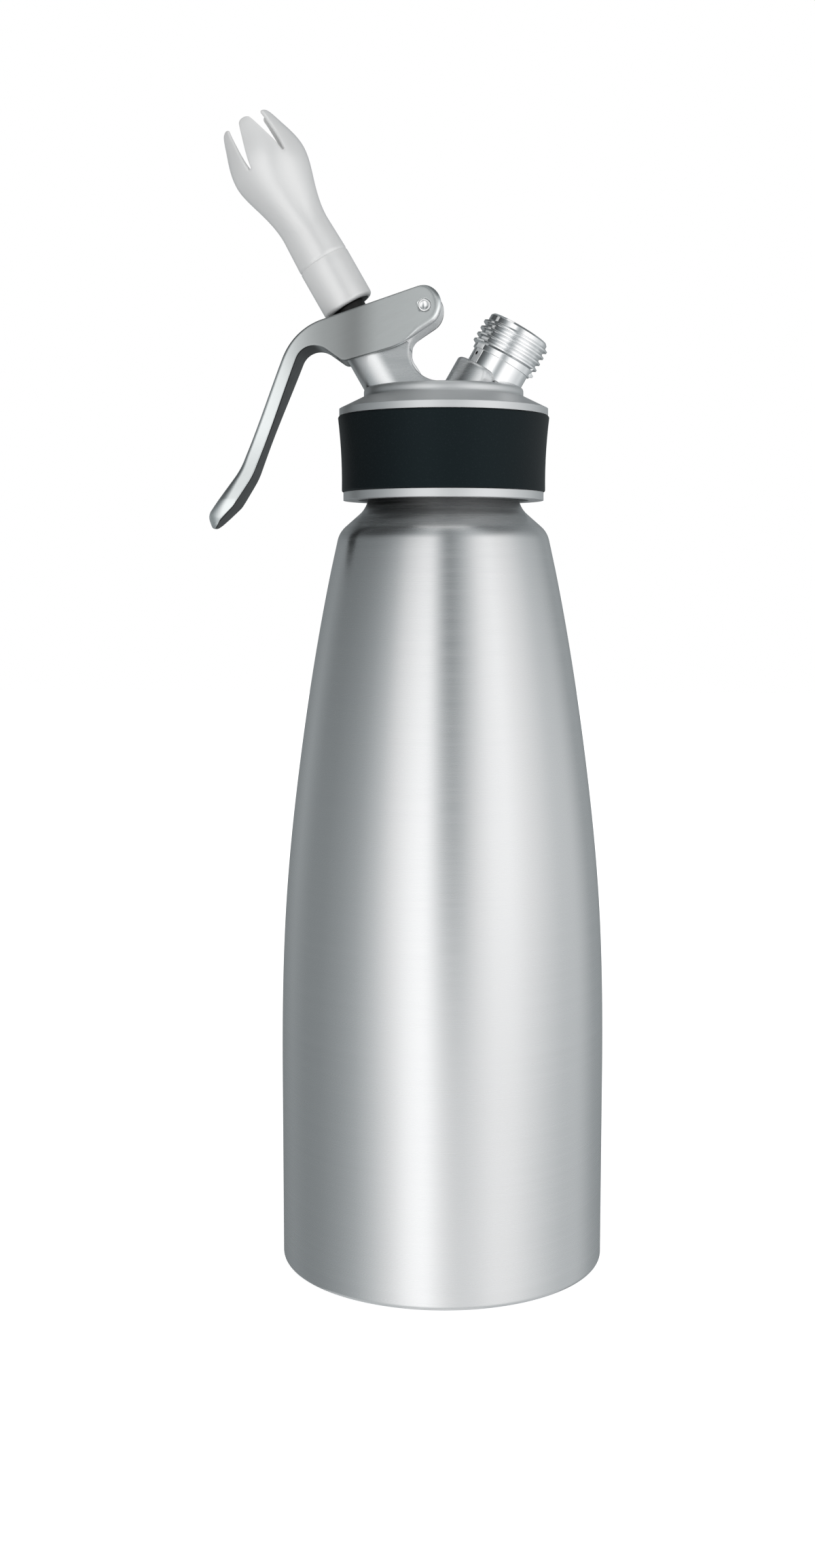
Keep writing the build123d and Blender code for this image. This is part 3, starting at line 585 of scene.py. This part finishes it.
black_silicone = moulded(
    "black_silicone", (0.0025, 0.0036, 0.0045), roughness=0.5, specular=0.21, specks=0.2,
    speck_colour=(0.02, 0.025, 0.028), scale=2600, depth=0.05 * MM, tint=(0.62, 0.92, 1.0))
red_silicone = moulded(
    "red_silicone", (0.5, 0.05, 0.04), roughness=0.5, specular=0.4, specks=0.1,
    speck_colour=(0.6, 0.1, 0.08), scale=2600, depth=0.03 * MM)
black_plastic = moulded(
    "black_plastic", (0.01, 0.01, 0.01), roughness=0.45, specular=0.35, specks=0.1,
    speck_colour=(0.03, 0.03, 0.03), scale=3000, depth=0.02 * MM)
tip_plastic = moulded(
    "tip_plastic", (0.74, 0.745, 0.745), roughness=0.45, specular=0.5, specks=0.05,
    speck_colour=(0.72, 0.73, 0.73), scale=1200, depth=0.02 * MM, Subsurface_Weight=0.5,
    Subsurface_Scale=3 * MM, Subsurface_Radius=(1.0, 1.0, 1.0), Coat_IOR=2.3, Coat_Roughness=0.3)
gloss_outside(tip_plastic)

node_materials = {
    bottle_steel: "bottle",
    head_steel: "head_body",
    lever_steel: "lever",
    pin_steel: "lever_pin",
    port_chrome: "charging_port",
    plain_steel: "valve_stem port_washer port_nut piercing_pin check_valve_ball",
    spring_steel: "return_spring check_valve_spring",
    needle_brass: "needle_carrier",
    tip_plastic: "decorator_tip",
    black_plastic: "spring_cap tip_insert",
    red_silicone: "head_gasket",
    black_silicone: "silicone_grip stem_seal stem_o_ring tip_seal port_o_ring charger_seal check_valve_seat",
}
for material, nodes in node_materials.items():
    for node in nodes.split():
        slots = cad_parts[node].data.materials
        slots.clear()
        slots.append(material)


# ---- bottle ----

BOTTLE_R = 51.6
BOTTLE_WALL = 1.2
BOTTLE_HEIGHT = 268.15
FOOT_ROUND = 1.8
FOOT_WIDTH = 6.0                # ring that it stands on
FOOT_RISE = 3.0                 # the dish inside that ring
BELLY = [(BOTTLE_R, 60), (49.9, 117.75), (45.3, 161.55), (35.2, 221.65)]  # its side, as (radius, height)
BELLY_END = (-0.21, 1)          # the way the side goes at its top
SHOULDER = (32.6, 233.35)
NECK_R = 23.5
NECK_LOW_Z = 241.35
NECK_ROUND = 8.0
MOUTH_R = 24.6
MOUTH_LOW_Z = 247.15
THREAD_PITCH = 4.0
THREAD_TURNS = 2.0
THREAD_START_Z = 251.65
THREAD_LOWEST_Z = 249.0
THREAD_HEIGHT = 1.5
THREAD_ROOT_HALF = 1.15         # half the ridge's width at its root and at its crest
THREAD_CREST_HALF = 0.65
THREAD_FADE = 1 / 6             # turns over which its ends fade


def bottle_side(inset):
    """The side from the straight wall up to the mouth, moved inwards by inset."""
    belly = smooth_line([(r - inset, z) for r, z in BELLY], (0, 1), BELLY_END, 70)
    lower = inset / 2
    shoulder = (SHOULDER[0] - inset, SHOULDER[1] - lower)
    neck = [(NECK_R - inset, NECK_LOW_Z - lower), (NECK_R - inset, MOUTH_LOW_Z)]
    top = rounded_line([belly[-1], shoulder, *neck], [NECK_ROUND - inset, NECK_ROUND + inset], 10)
    return np.concatenate([belly, top[1:]])


def bottle_thread(angle, radius, height):
    """Radius with a rounded ridge wound on the outside of the mouth: it rises on a smooth step from
    its root's half width to its crest's, and its ends fade out."""
    turn = (height - THREAD_START_Z) / THREAD_PITCH - angle / (2 * pi)
    off = np.abs(turn - np.round(turn)) * THREAD_PITCH
    ridge = THREAD_HEIGHT * smoothstep((THREAD_ROOT_HALF - off) / (THREAD_ROOT_HALF - THREAD_CREST_HALF))
    ends = smoothstep(turn / THREAD_FADE + 0.5) * smoothstep((THREAD_TURNS - turn) / THREAD_FADE + 0.5)
    on_wall = (np.abs(radius - MOUTH_R) < 0.01) & (height > THREAD_LOWEST_Z)
    return radius + ridge * ends * on_wall


def make_bottle():
    """Turned shell: up the outside, over the rim, down the inside, and across the dished foot."""
    dish_r = BOTTLE_R - FOOT_ROUND - FOOT_WIDTH
    bore = NECK_R - BOTTLE_WALL
    foot = rounded_line([(dish_r - FOOT_RISE, FOOT_RISE), (dish_r, 0), (BOTTLE_R, 0), BELLY[0]],
                        [0.8, FOOT_ROUND], 8)
    mouth = rounded_line([(NECK_R, MOUTH_LOW_Z), (MOUTH_R, MOUTH_LOW_Z), (MOUTH_R, BOTTLE_HEIGHT),
                          (bore, BOTTLE_HEIGHT), (bore, MOUTH_LOW_Z)], [0.2, 0.4, 0.4], 4)
    outside = [[(0, FOOT_RISE), (dish_r - FOOT_RISE, FOOT_RISE)], foot[1:-1], bottle_side(0), mouth[1:]]
    floor_z = FOOT_RISE + BOTTLE_WALL
    floor = [(BOTTLE_R - BOTTLE_WALL, FOOT_ROUND), (BOTTLE_R - FOOT_ROUND, BOTTLE_WALL),
             (dish_r, BOTTLE_WALL), (dish_r - FOOT_RISE, floor_z), (0, floor_z)]
    inside = [bottle_side(BOTTLE_WALL)[-2::-1], floor]
    outline = dense_line(np.concatenate(outside + inside), 4.0)
    piece = turned_piece("bottle_shell", outline, bottle_steel, around=256, radius_at=bottle_thread)
    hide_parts("bottle")
    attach(piece, "bottle")


# ---- lever ----

LEVER_INSET = 0.02              # the plate stays this far inside the CAD lever
LEVER_HALF_WIDTH = 9.0
LEVER_END_R = 6.1               # its round end about the pin
LEVER_END_FLAT = 0.86           # that end's length behind the pin, as a share of its radius
LEVER_TOP_SLOPE = radians(18.2)  # slopes of the upper and the lower side where they leave that end
LEVER_HEEL_SLOPE = radians(32.0)
LEVER_TOE_X = 22.0              # where the top turns down to the collar
# Outer side, then inner side: distance from the pivot outwards and down, and the corner's radius.
LEVER_OUTER = [(40.4, 6.8, 20.0), (57.7, 49.4, 25.0), (68.3, 63.4, 4.0), (67.3, 68.4, 0.9)]
LEVER_INNER = [(59.4, 60.6, 6.0), (53.6, 51.6, 25.0), (36.6, 8.6, 6.0), (25.1, 16.7, 3.0),
               (7.7, 12.0, 25.0)]
# Its half width by the distance below the pivot, down to the spoon's widest place.
LEVER_WIDTHS = [(14.0, LEVER_HALF_WIDTH), (40.0, 6.1), (58.5, 8.6)]
SPOON_FLARE = (1, 0.15)         # the way that line goes there
SPOON_END_DROP = 69.0
# Radii of the edges by the distance below the pivot, and how much rounder they are behind it.
LEVER_OUTER_EDGE = [(-8, 0.35), (2, 0.45), (14, 1.1), (45, 1.2), (52, 1.7), (60, 3.2), (66, 4.2)]
LEVER_INNER_EDGE = [(-8, 0.4), (10, 0.5), (20, 0.45), (69, 0.45)]
LEVER_END_EDGE = 1.7


def lever_sides():
    """The lever's outline seen from the side as two lines from the end behind the pivot to the
    spoon's tip, over the top and underneath, and the outline's corners."""
    arc = np.linspace(pi / 2 + LEVER_TOP_SLOPE, -pi / 2 + LEVER_HEEL_SLOPE, 41)
    flat = np.where(np.cos(arc) > 0, LEVER_END_FLAT, 1)
    disc = PIVOT + LEVER_END_R * np.stack([flat * np.cos(arc), np.sin(arc)], -1)
    corners = [PIVOT - (x, drop) for x, drop, _ in LEVER_OUTER + LEVER_INNER]
    radii = [r for _, _, r in LEVER_OUTER + LEVER_INNER]
    ring = rounded_line([disc[0], *corners, disc[-1]], radii, 18)
    middle = len(disc) // 2
    ring = inset_ring(np.concatenate([disc[middle::-1], ring[1:-1], disc[:middle - 1:-1]]), LEVER_INSET)
    tip = np.argmin(np.linalg.norm(ring - corners[3], axis=1))
    return ring[:tip + 1], ring[:tip - 1:-1], corners


def lever_half_width(drop):
    """Half the plate's width by the distance below the pivot: along the grip, then a round spoon end
    as half an ellipse."""
    waist = smooth_line(LEVER_WIDTHS, (1, 0), SPOON_FLARE, 200)
    widest_drop, widest = LEVER_WIDTHS[-1]
    end = np.linspace(widest_drop, SPOON_END_DROP, 100)
    share = (end - widest_drop) / (SPOON_END_DROP - widest_drop)
    round_end = np.stack([end, widest * np.sqrt(np.clip(1 - share**2, 0, 1))], -1)
    line = np.concatenate([[(-20, LEVER_HALF_WIDTH)], waist, round_end[1:]])
    half = np.interp(drop, line[:, 0], line[:, 1])
    return np.minimum(half, LEVER_HALF_WIDTH) - LEVER_INSET


def lever_edge_radii(flat):
    """Radii of the upper and the lower edges at points of the side face."""
    drop = PIVOT[1] - flat[:, 1]
    behind = flat[:, 0] - PIVOT[0]
    upper = np.interp(drop, *zip(*LEVER_OUTER_EDGE)) + LEVER_END_EDGE * smoothstep((behind + 2) / 6)
    lower = np.interp(drop, *zip(*LEVER_INNER_EDGE)) + LEVER_END_EDGE * smoothstep((behind + 7) / 6)
    return upper, lower


def make_lever_plate():
    """The lever as a solid plate with rounded edges. Its side face is a grid between the upper and
    the lower line of the outline; the half width falls near each line as r - sqrt(r^2 - (r - d)^2),
    where d is the distance from that line and r the edge's radius there."""
    upper, lower, corners = lever_sides()
    toe_rise = LEVER_END_R / cos(LEVER_TOP_SLOPE) - LEVER_TOE_X * tan(LEVER_TOP_SLOPE)
    toe_over = PIVOT + (-LEVER_TOE_X, toe_rise)
    end_top, end_low = PIVOT + (0, LEVER_END_R), PIVOT - (0, LEVER_END_R)
    bend_out, grip_out, spoon_out, _, spoon_in, grip_in, bend_in, toe_in, _ = corners
    # facets between neighbouring stations, which face each other on the two lines
    counts = [16, 34, 60, 70, 36, 22]
    back, tip = upper[0], upper[-1]
    over = stationed_line(upper, [back, end_top, toe_over, bend_out, grip_out, spoon_out, tip], counts)
    under = stationed_line(lower, [back, end_low, toe_in, bend_in, grip_in, spoon_in, tip], counts)
    # columns crowd towards both lines, where the edges are rounded
    share = 0.5 - 0.5 * np.cos(np.linspace(0, pi, 41))
    grid = over[:, None] + (under - over)[:, None] * share[None, :, None]
    flat = grid.reshape(-1, 2)
    half = lever_half_width(PIVOT[1] - flat[:, 1])
    fall = 0
    for line, radius in zip((upper, lower), lever_edge_radii(flat)):
        radius = np.minimum(radius, half)
        inside = np.clip(radius - line_distance(flat, line), 0, radius)
        fall = np.maximum(fall, radius - np.sqrt(radius**2 - inside**2))
    half = np.maximum(half - fall, 0.05)

    rows, columns = grid.shape[:2]
    count = rows * columns
    near = np.stack([flat[:, 0], -half, flat[:, 1]], -1)
    far = np.stack([flat[:, 0], half, flat[:, 1]], -1)
    quads = grid_faces(rows, columns, False)
    rim = []
    for column in (0, columns - 1):
        k = np.arange(rows - 1) * columns + column
        rim.append(np.stack([k, k + columns, k + columns + count, k + count], -1))
    faces = np.concatenate([quads, quads[:, ::-1] + count, *rim])
    return mesh_piece("lever_plate", np.concatenate([near, far]), faces, lever_steel, sharp=50)


def cad_copy(node, name):
    """A merged copy of a CAD node's mesh."""
    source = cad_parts[node]
    piece = new_object(name, source.data.copy())
    piece.data.transform(source.matrix_world)
    merge_corners(piece)
    return piece


def keep_within(piece, other):
    """Cuts away what lies outside other, and takes other away."""
    change = piece.modifiers.new("within", "BOOLEAN")
    change.object = other
    change.operation = "INTERSECT"
    change.solver = "EXACT"
    evaluated = piece.evaluated_get(bpy.context.evaluated_depsgraph_get())
    mesh = bpy.data.meshes.new_from_object(evaluated)
    piece.modifiers.clear()
    piece.data = mesh
    bpy.data.objects.remove(other)


def make_lever():
    """The rounded plate, cut to the CAD lever, which hollows it between the cheeks."""
    plate = make_lever_plate()
    merge_corners(plate)
    keep_within(plate, cad_copy("lever", "lever_cutter"))
    finish_mesh(plate.data, 50)
    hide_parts("lever")
    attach(plate, "lever")


# ---- tip ----

# Points are (radius, height along the stem's axis).
TIP_FOOT = 28.9
TIP_TOP = 93.1
TIP_BARREL = [(6.65, TIP_FOOT), (8.15, TIP_FOOT), (8.15, 44.55), (7.85, 44.85), (8.12, 45.5)]
TIP_BARREL_ROUNDS = [1.3, 0.15, 0.12, 0.3]
TIP_BORE = [(6.65, TIP_FOOT), (6.65, 40.65), (6.2, 40.65)]
TULIP = [(7.7, 56.15), (9.9, 68.15), (12.1, 78.65), (9.7, 88.55), (7.95, TIP_TOP)]
TULIP_INSIDE = [(6.2, 56.15), (8.4, 68.15), (10.6, 78.65), (8.6, 88.55), (6.85, TIP_TOP)]
TULIP_START, TULIP_END = (0, 1), (-0.5, 0.8)
PETALS = 6
TIP_TURN = 3                    # degrees about its axis, as it is screwed on
SLOT_DEPTH = 15.05
SLOT_ROOT_HALF = 0.35
SLOT_TOP_HALF = 2.5
PETAL_CORNER = 1.3
PETAL_EDGE = 0.55               # the wall closes to a round edge over this distance


def tip_lines():
    """The tip's outer and inner side as (radius, height), from the inner edge of its foot up to the
    mouth, with points that face each other."""
    outer = np.concatenate([rounded_line([*TIP_BARREL, TULIP[0]], TIP_BARREL_ROUNDS, 8)[:-1],
                            smooth_line(TULIP, TULIP_START, TULIP_END, 120)])
    inner = np.concatenate([TIP_BORE, smooth_line(TULIP_INSIDE, TULIP_START, TULIP_END, 120)])
    # facets between neighbouring stations: foot, barrel, bead, waist, slot's root and the lip
    counts = [10, 4, 14, 16, 34, 10, 26, 16]
    lip_z = TIP_TOP - 1.6
    levels = (
        (outer, [(8.15, 30.2), (8.15, 44.3), TIP_BARREL[-1], TULIP[0]], (8.6, lip_z)),
        (inner, [(6.65, 29.2), TIP_BORE[1], (6.2, 45.5), TULIP_INSIDE[0]], (7.5, lip_z)),
    )
    lines = []
    for line, low, lip in levels:
        root = line[np.argmin(np.abs(line[:, 1] - (TIP_TOP - SLOT_DEPTH)))]
        stations = [line[0], *low, root - (0.3, 0.4), root + (0, 0.8), lip, line[-1]]
        lines.append(stationed_line(line, stations, counts))
    return lines


def make_tip():
    """Six alike sectors of a turned wall. Row by row the sector ends at the slot, whose half width
    grows evenly with height from a round root, and at a rounded corner under the mouth. Near that
    edge both sides of the wall draw in to its middle by sqrt(1 - (1 - d)^2), d being the distance
    from the edge as a share of PETAL_EDGE."""
    outer, inner = tip_lines()
    r, z = outer.T
    v = line_steps(outer)
    up = z - (TIP_TOP - SLOT_DEPTH)
    half = SLOT_ROOT_HALF + (SLOT_TOP_HALF - SLOT_ROOT_HALF) * np.clip(up, 0, None) / SLOT_DEPTH
    start = np.clip(up / SLOT_ROOT_HALF, 0, 1)
    half = half * np.sqrt(1 - (1 - start) ** 2)
    below = np.clip(1 - (v[-1] - v) / PETAL_CORNER, 0, 1)
    half = half + PETAL_CORNER * (1 - np.sqrt(np.clip(1 - below**2, 0, 1)))
    reach = pi / PETALS - np.arcsin(half / r)

    share = -np.cos(np.linspace(0, pi, 33))
    angle = reach[:, None] * share[None]
    edge = np.stack([half, v], -1)[up > 0]
    across = np.sin(pi / PETALS - np.abs(angle)) * r[:, None]
    flat = np.stack([across, np.broadcast_to(v[:, None], across.shape)], -1).reshape(-1, 2)
    away = np.minimum(line_distance(flat, edge), v[-1] - flat[:, 1]).reshape(across.shape)
    full = np.sqrt(1 - (1 - np.clip(away / PETAL_EDGE, 0, 1)) ** 2)[..., None]
    middle = ((outer + inner) / 2)[:, None]
    sides = [middle + (line[:, None] - middle) * full for line in (outer, inner)]

    rows, columns = angle.shape
    quads = grid_faces(rows, columns, False)
    points, faces = [], []
    for sector in range(PETALS):
        turn = angle + radians(TIP_TURN) + 2 * pi / PETALS * (sector + 0.5)
        for side, order in zip(sides, (quads, quads[:, ::-1])):
            faces.append(order + rows * columns * len(points))
            radius, height = side[..., 0], side[..., 1]
            round_axis = np.stack([radius * np.cos(turn), radius * np.sin(turn), height], -1)
            points.append(round_axis.reshape(-1, 3))
    placed = lean_points(np.concatenate(points), STEM_FOOT_X, -1)
    tip = mesh_piece("tulip_tip", placed, np.concatenate(faces), tip_plastic, sharp=60)
    merge_corners(tip)
    finish_mesh(tip.data, 60)
    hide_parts("decorator_tip")
    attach(tip, "tip")


# ---- pin ----

PIN_R = 1.9
PIN_HALF_LENGTH = LEVER_HALF_WIDTH + 0.15
PIN_DISH_R = 1.35
PIN_DISH_DEPTH = 0.62
PIN_DISH_SLOPE = radians(34)    # of the hollow at its rim
PIN_LIP_R = 1.42


def make_pin():
    """The lever's pin: a rod with a rounded rim and a smooth hollow, part of a ball, in each end."""
    hollow = np.linspace(0, PIN_DISH_SLOPE, 9)
    ball_r = PIN_DISH_R / sin(PIN_DISH_SLOPE)
    dish_z = PIN_HALF_LENGTH - PIN_DISH_DEPTH + ball_r * (1 - np.cos(hollow))
    dish = np.stack([ball_r * np.sin(hollow), dish_z], -1)
    rim = rounded_line([dish[-1], (PIN_LIP_R, PIN_HALF_LENGTH), (PIN_R, PIN_HALF_LENGTH), (PIN_R, 0)],
                       [0.08, 0.25], 5)
    upper = np.concatenate([dish, rim[1:]])
    outline = np.concatenate([upper * (1, -1), upper[::-1][1:]])

    def across(points):
        x, y, s = np.moveaxis(points, -1, 0)
        return np.stack([PIVOT[0] + x, s, PIVOT[1] + y], -1)

    pin = turned_piece("lever_pin_dished", outline, pin_steel, around=64, sharp=50, place=across)
    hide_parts("lever_pin")
    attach(pin, "head")


# ---- back of the web ----

WEB_END_R = (5.1, 5.98)         # half axes of its round end between the cheeks
WEB_JOIN = (-6.3, 294.55)       # where it turns down into the window, as (x, z)
WINDOW = np.array([-1.2, 288.7])  # the window's middle, as (x, z)
WINDOW_HOLLOW = [(168, 8.93), (190, 8.85), (210, 8.38), (230, 8.75), (243, 9.5)]  # degrees, distance
NECK_EDGE = (1.31, 6.82)        # distance from the stem's axis and half width where the web begins,
WEB_EDGE = (20.18, 4.6)         # and where it ends
WEB_PROUD = 0.04
CHEEK_GAP_HALF = 6.7
CHEEK_LOW_Z = 290.5
BAND_ROUND = 1.0
BAND_DEPTH = 2.6


def web_line():
    """The web's back seen from the side, from its round end down into the window."""
    arc = np.radians(np.linspace(14, -58, 28))
    round_end = PIVOT + np.stack([WEB_END_R[0] * np.cos(arc), WEB_END_R[1] * np.sin(arc)], -1)
    degrees, distance = np.array(WINDOW_HOLLOW, float).T
    a = np.radians(degrees)
    hollow = WINDOW + distance[:, None] * np.stack([np.cos(a), np.sin(a)], -1)
    lower = smooth_line([round_end[-1], WEB_JOIN, *hollow], (-0.84, -0.54), (0.8, -0.6), 72)
    return np.concatenate([round_end, lower[1:]])


def make_web_back():
    """A band with rounded rims along that line. Its half width blends from the space between the
    cheeks to the web's own, which shrinks evenly with the distance from the stem's axis. The rims
    are quarter circles: depth r (1 - cos a), narrower by r (1 - sin a)."""
    line = web_line()
    run = np.gradient(line, axis=0)
    inward = np.stack([run[:, 1], -run[:, 0]], -1) / np.linalg.norm(run, axis=1)[:, None]
    from_stem = (line[:, 0] - STEM_FOOT_X) * cos(LEAN) + (line[:, 1] - DECK_Z) * sin(LEAN)
    web = np.interp(from_stem, *zip(NECK_EDGE, WEB_EDGE)) + WEB_PROUD
    half = web + (CHEEK_GAP_HALF - web) * smoothstep((line[:, 1] - CHEEK_LOW_Z) / 4.0)
    turn = np.linspace(0, pi / 2, 8)
    depth = np.concatenate([BAND_ROUND * (1 - np.cos(turn)), [BAND_DEPTH]])
    narrower = np.concatenate([BAND_ROUND * (1 - np.sin(turn)), [0]])
    near = half - narrower[::-1, None]
    y = np.concatenate([-near, near[::-1]])
    place = line + inward * np.concatenate([depth[::-1], depth])[:, None, None]
    points = np.stack([place[..., 0], y, place[..., 1]], -1)
    rows, columns = y.shape
    back = grid_faces(2, columns, False)
    back = np.where(back >= columns, back - columns, back + (rows - 1) * columns)
    quads = np.concatenate([grid_faces(rows, columns, False), back])
    k = np.arange(rows) * columns
    faces = quads.tolist() + [k.tolist(), (k[::-1] + columns - 1).tolist()]
    band = mesh_piece("web_back", points.reshape(-1, 3), faces, web_steel_painted_light, sharp=50)
    merge_corners(band)
    finish_mesh(band.data, 50)
    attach(band, "head")


# ---- springs ----


def make_spring(node):
    """A smoothly shaded copy of a CAD spring, which takes its place and is carried with the head."""
    spring = cad_copy(node, node + "_wire")
    finish_mesh(spring.data, 50)
    points = np.empty(3 * len(spring.data.vertices))
    spring.data.vertices.foreach_get("co", points)
    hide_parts(node)
    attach(spring, "head")
    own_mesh(spring)


make_bottle()
make_spring("return_spring")
make_spring("check_valve_spring")
make_lever()
make_tip()
make_pin()
make_web_back()


# ---- floor, light, camera ----

FLOOR_HALF = 3000
FLOOR_GLOW = 0.6                # lifts the floor to the world's white where it is seen
WORLD_LIGHT = 0.75              # the world's strength as a light; it is 1 where it is seen

# The studio that metal reflects. Each row is the wall's brightness, in hundredths, at a height in
# metres by azimuth in degrees, where 0 is in front of the object and 90 on its right: two wide
# softboxes in the front, with a gap between them that darkens and widens upwards, and dimmer towards
# the back and the top.
STUDIO_AZIMUTHS = (
    -180, -150, -128, -107, -90, -74, -60, -46, -33, -20, -9, 3,
    9, 15, 27, 39, 52, 66, 80, 95, 113, 135, 150, 180,
)
STUDIO_ROWS = [
    (-0.27, (22, 26, 34, 31, 34, 42, 53, 75, 102, 140, 153, 122,
            108, 100, 102, 114, 110, 95, 80, 68, 67, 43, 36, 22)),
    (0.17, (22, 29, 44, 33, 33, 40, 51, 77, 115, 143, 156, 74,
            58, 68, 115, 136, 138, 117, 100, 83, 80, 46, 41, 22)),
    (0.56, (22, 27, 26, 21, 27, 33, 44, 64, 105, 124, 136, 48,
            28, 38, 70, 115, 137, 118, 100, 75, 55, 38, 40, 22)),
    (0.80, (22, 10, 6, 5, 7, 12, 20, 36, 70, 105, 115, 42,
            22, 32, 65, 105, 125, 110, 90, 60, 40, 30, 30, 22)),
    (0.95, (30, 24, 14, 8, 7, 10, 16, 26, 42, 62, 66, 34,
            28, 32, 48, 62, 58, 36, 22, 18, 22, 26, 30, 30)),
]
STUDIO_TOP = 1.7                # strength at which a ramp's white glows
STUDIO_FOOT = 0.7               # brightness below the object
STUDIO_R = 900
STUDIO_HALF_HEIGHT = 900
STUDIO_OPENING = (330, 1250)    # radius and height of the roof's opening
STUDIO_FOOT_R = 250

CAMERA_PLACE = (0.0304, -0.5802, 0.2185)  # in metres
CAMERA_SIDE = radians(3)        # how far to the right of the front it stands
CAMERA_PAN = radians(1.107)     # how far to the left it looks
CAMERA_TILT = radians(6.35)     # how far down it looks
CAMERA_LENS = 42.08


def make_stage():
    """A wide pale floor; the world behind it is as pale."""
    points = FLOOR_HALF * np.array([(-1, -1, 0), (1, -1, 0), (1, 1, 0), (-1, 1, 0)])
    material, tree, shader = new_material("floor_pale")
    floor = mesh_piece("floor", points, [(0, 1, 2, 3)], material)
    path = add(tree, "ShaderNodeLightPath").outputs
    seen = maths(tree, "MAXIMUM", path["Is Camera Ray"], path["Is Transmission Ray"])
    wire(shader, Base_Color=(0.82, 0.82, 0.82, 1), Roughness=0.9, Specular_IOR_Level=0.0,
         Emission_Color=(1, 1, 1, 1), Emission_Strength=maths(tree, "MULTIPLY", seen, FLOOR_GLOW))
    floor.visible_glossy = False
    floor.visible_shadow = False


def make_world():
    """White where it is seen, directly or in metal and glass, and softer as a light."""
    world = bpy.data.worlds.new("studio")
    bpy.context.scene.world = world
    world.use_nodes = True
    tree = world.node_tree
    tree.nodes.clear()
    path = add(tree, "ShaderNodeLightPath").outputs
    seen = maths(tree, "MAXIMUM", path["Is Camera Ray"], path["Is Glossy Ray"])
    seen = maths(tree, "MAXIMUM", seen, path["Is Transmission Ray"])
    level = between(tree, seen, 0.0, 1.0, WORLD_LIGHT, 1.0, smooth=False)
    background = wire(add(tree, "ShaderNodeBackground"), Color=(1, 1, 1, 1), Strength=level)
    wire(add(tree, "ShaderNodeOutputWorld"), Surface=background.outputs[0])


def softbox(name, azimuth, distance, width, height, level, centre_z):
    """A flat lamp facing the object's axis, with its lengths in metres: azimuth 0 is in front and 90
    to the right, and level is how bright its face looks."""
    data = bpy.data.lights.new(name, "AREA")
    data.shape = "RECTANGLE"
    data.size = width
    data.size_y = height
    data.energy = level * width * height * pi
    lamp = new_object(name, data)
    a = radians(azimuth)
    lamp.location = (distance * sin(a), -distance * cos(a), centre_z)
    lamp.rotation_euler = (pi / 2, 0, a)
    lamp.visible_glossy = False


def studio_levels(tree):
    """Brightness of the studio's wall by azimuth, blended from each row's height to the next."""
    x, y, z = apart(tree, object_place(tree)[0])
    azimuth = maths(tree, "ARCTAN2", x, maths(tree, "MULTIPLY", y, -1.0))
    turn = maths(tree, "MULTIPLY_ADD", azimuth, 1 / (2 * pi), 0.5)
    blended, below = None, None
    for height, levels in STUDIO_ROWS:
        stops = []
        for degrees, level in zip(STUDIO_AZIMUTHS, levels):
            colour = [channel / STUDIO_TOP for channel in cool_grey(level / 100)[:3]]
            stops.append((degrees / 360 + 0.5, (*colour, 1)))
        ramp = colour_ramp(tree, turn, stops)
        if blended is None:
            blended = ramp
        else:
            blended = mixed(tree, between(tree, z, below, height, smooth=False), blended, ramp)
        below = height
    return blended


def make_studio():
    """What only metal and gloss reflect, turned about the object's axis: a round wall, the cone of
    its roof with an opening at the top, and a ring for the foot, with x = r sin a and y = -r cos a."""
    low = 0.1 - STUDIO_HALF_HEIGHT  # the foot lies this little above the wall's lower edge
    parts = (
        ("studio_wall", [(STUDIO_R, -STUDIO_HALF_HEIGHT), (STUDIO_R, 0), (STUDIO_R, STUDIO_HALF_HEIGHT),
                         STUDIO_OPENING]),
        ("studio_foot", [(STUDIO_FOOT_R, low), (STUDIO_R - 0.1, low)]),
    )
    a = np.radians(np.linspace(0, 360, 97)[:-1])
    for name, outline in parts:
        r, height = np.array(outline, float).T
        radius, angle = np.meshgrid(r, a, indexing="ij")
        height = np.broadcast_to(height[:, None], radius.shape)
        points = np.stack([radius * np.sin(angle), -radius * np.cos(angle), height], -1).reshape(-1, 3)
        material, tree, glow = new_material(name, "ShaderNodeEmission")
        piece = mesh_piece(name, points, grid_faces(len(outline), len(a), True), material)
        if name == "studio_wall":
            wire(glow, Color=studio_levels(tree), Strength=STUDIO_TOP)
        else:
            wire(glow, Color=cool_grey(STUDIO_FOOT))
        for ray in ("camera", "shadow", "diffuse", "transmission"):
            setattr(piece, "visible_" + ray, False)


def make_camera():
    """A normal lens from the front, three degrees to the right, looking a little down and left."""
    data = bpy.data.cameras.new("camera")
    data.lens = CAMERA_LENS
    data.clip_start = 0.01
    data.clip_end = 50
    camera = new_object("camera", data)
    bpy.context.scene.camera = camera
    camera.location = CAMERA_PLACE
    camera.rotation_euler = (pi / 2 - CAMERA_TILT, 0, CAMERA_SIDE + CAMERA_PAN)


make_stage()
make_world()
softbox("left_softbox", azimuth=-18, distance=0.95, width=0.62, height=1.7, level=0.45, centre_z=0.15)
softbox("right_softbox", azimuth=50, distance=0.95, width=1.25, height=1.7, level=0.4, centre_z=0.15)
make_studio()
make_camera()

view = bpy.context.scene.view_settings
view.view_transform = "Standard"
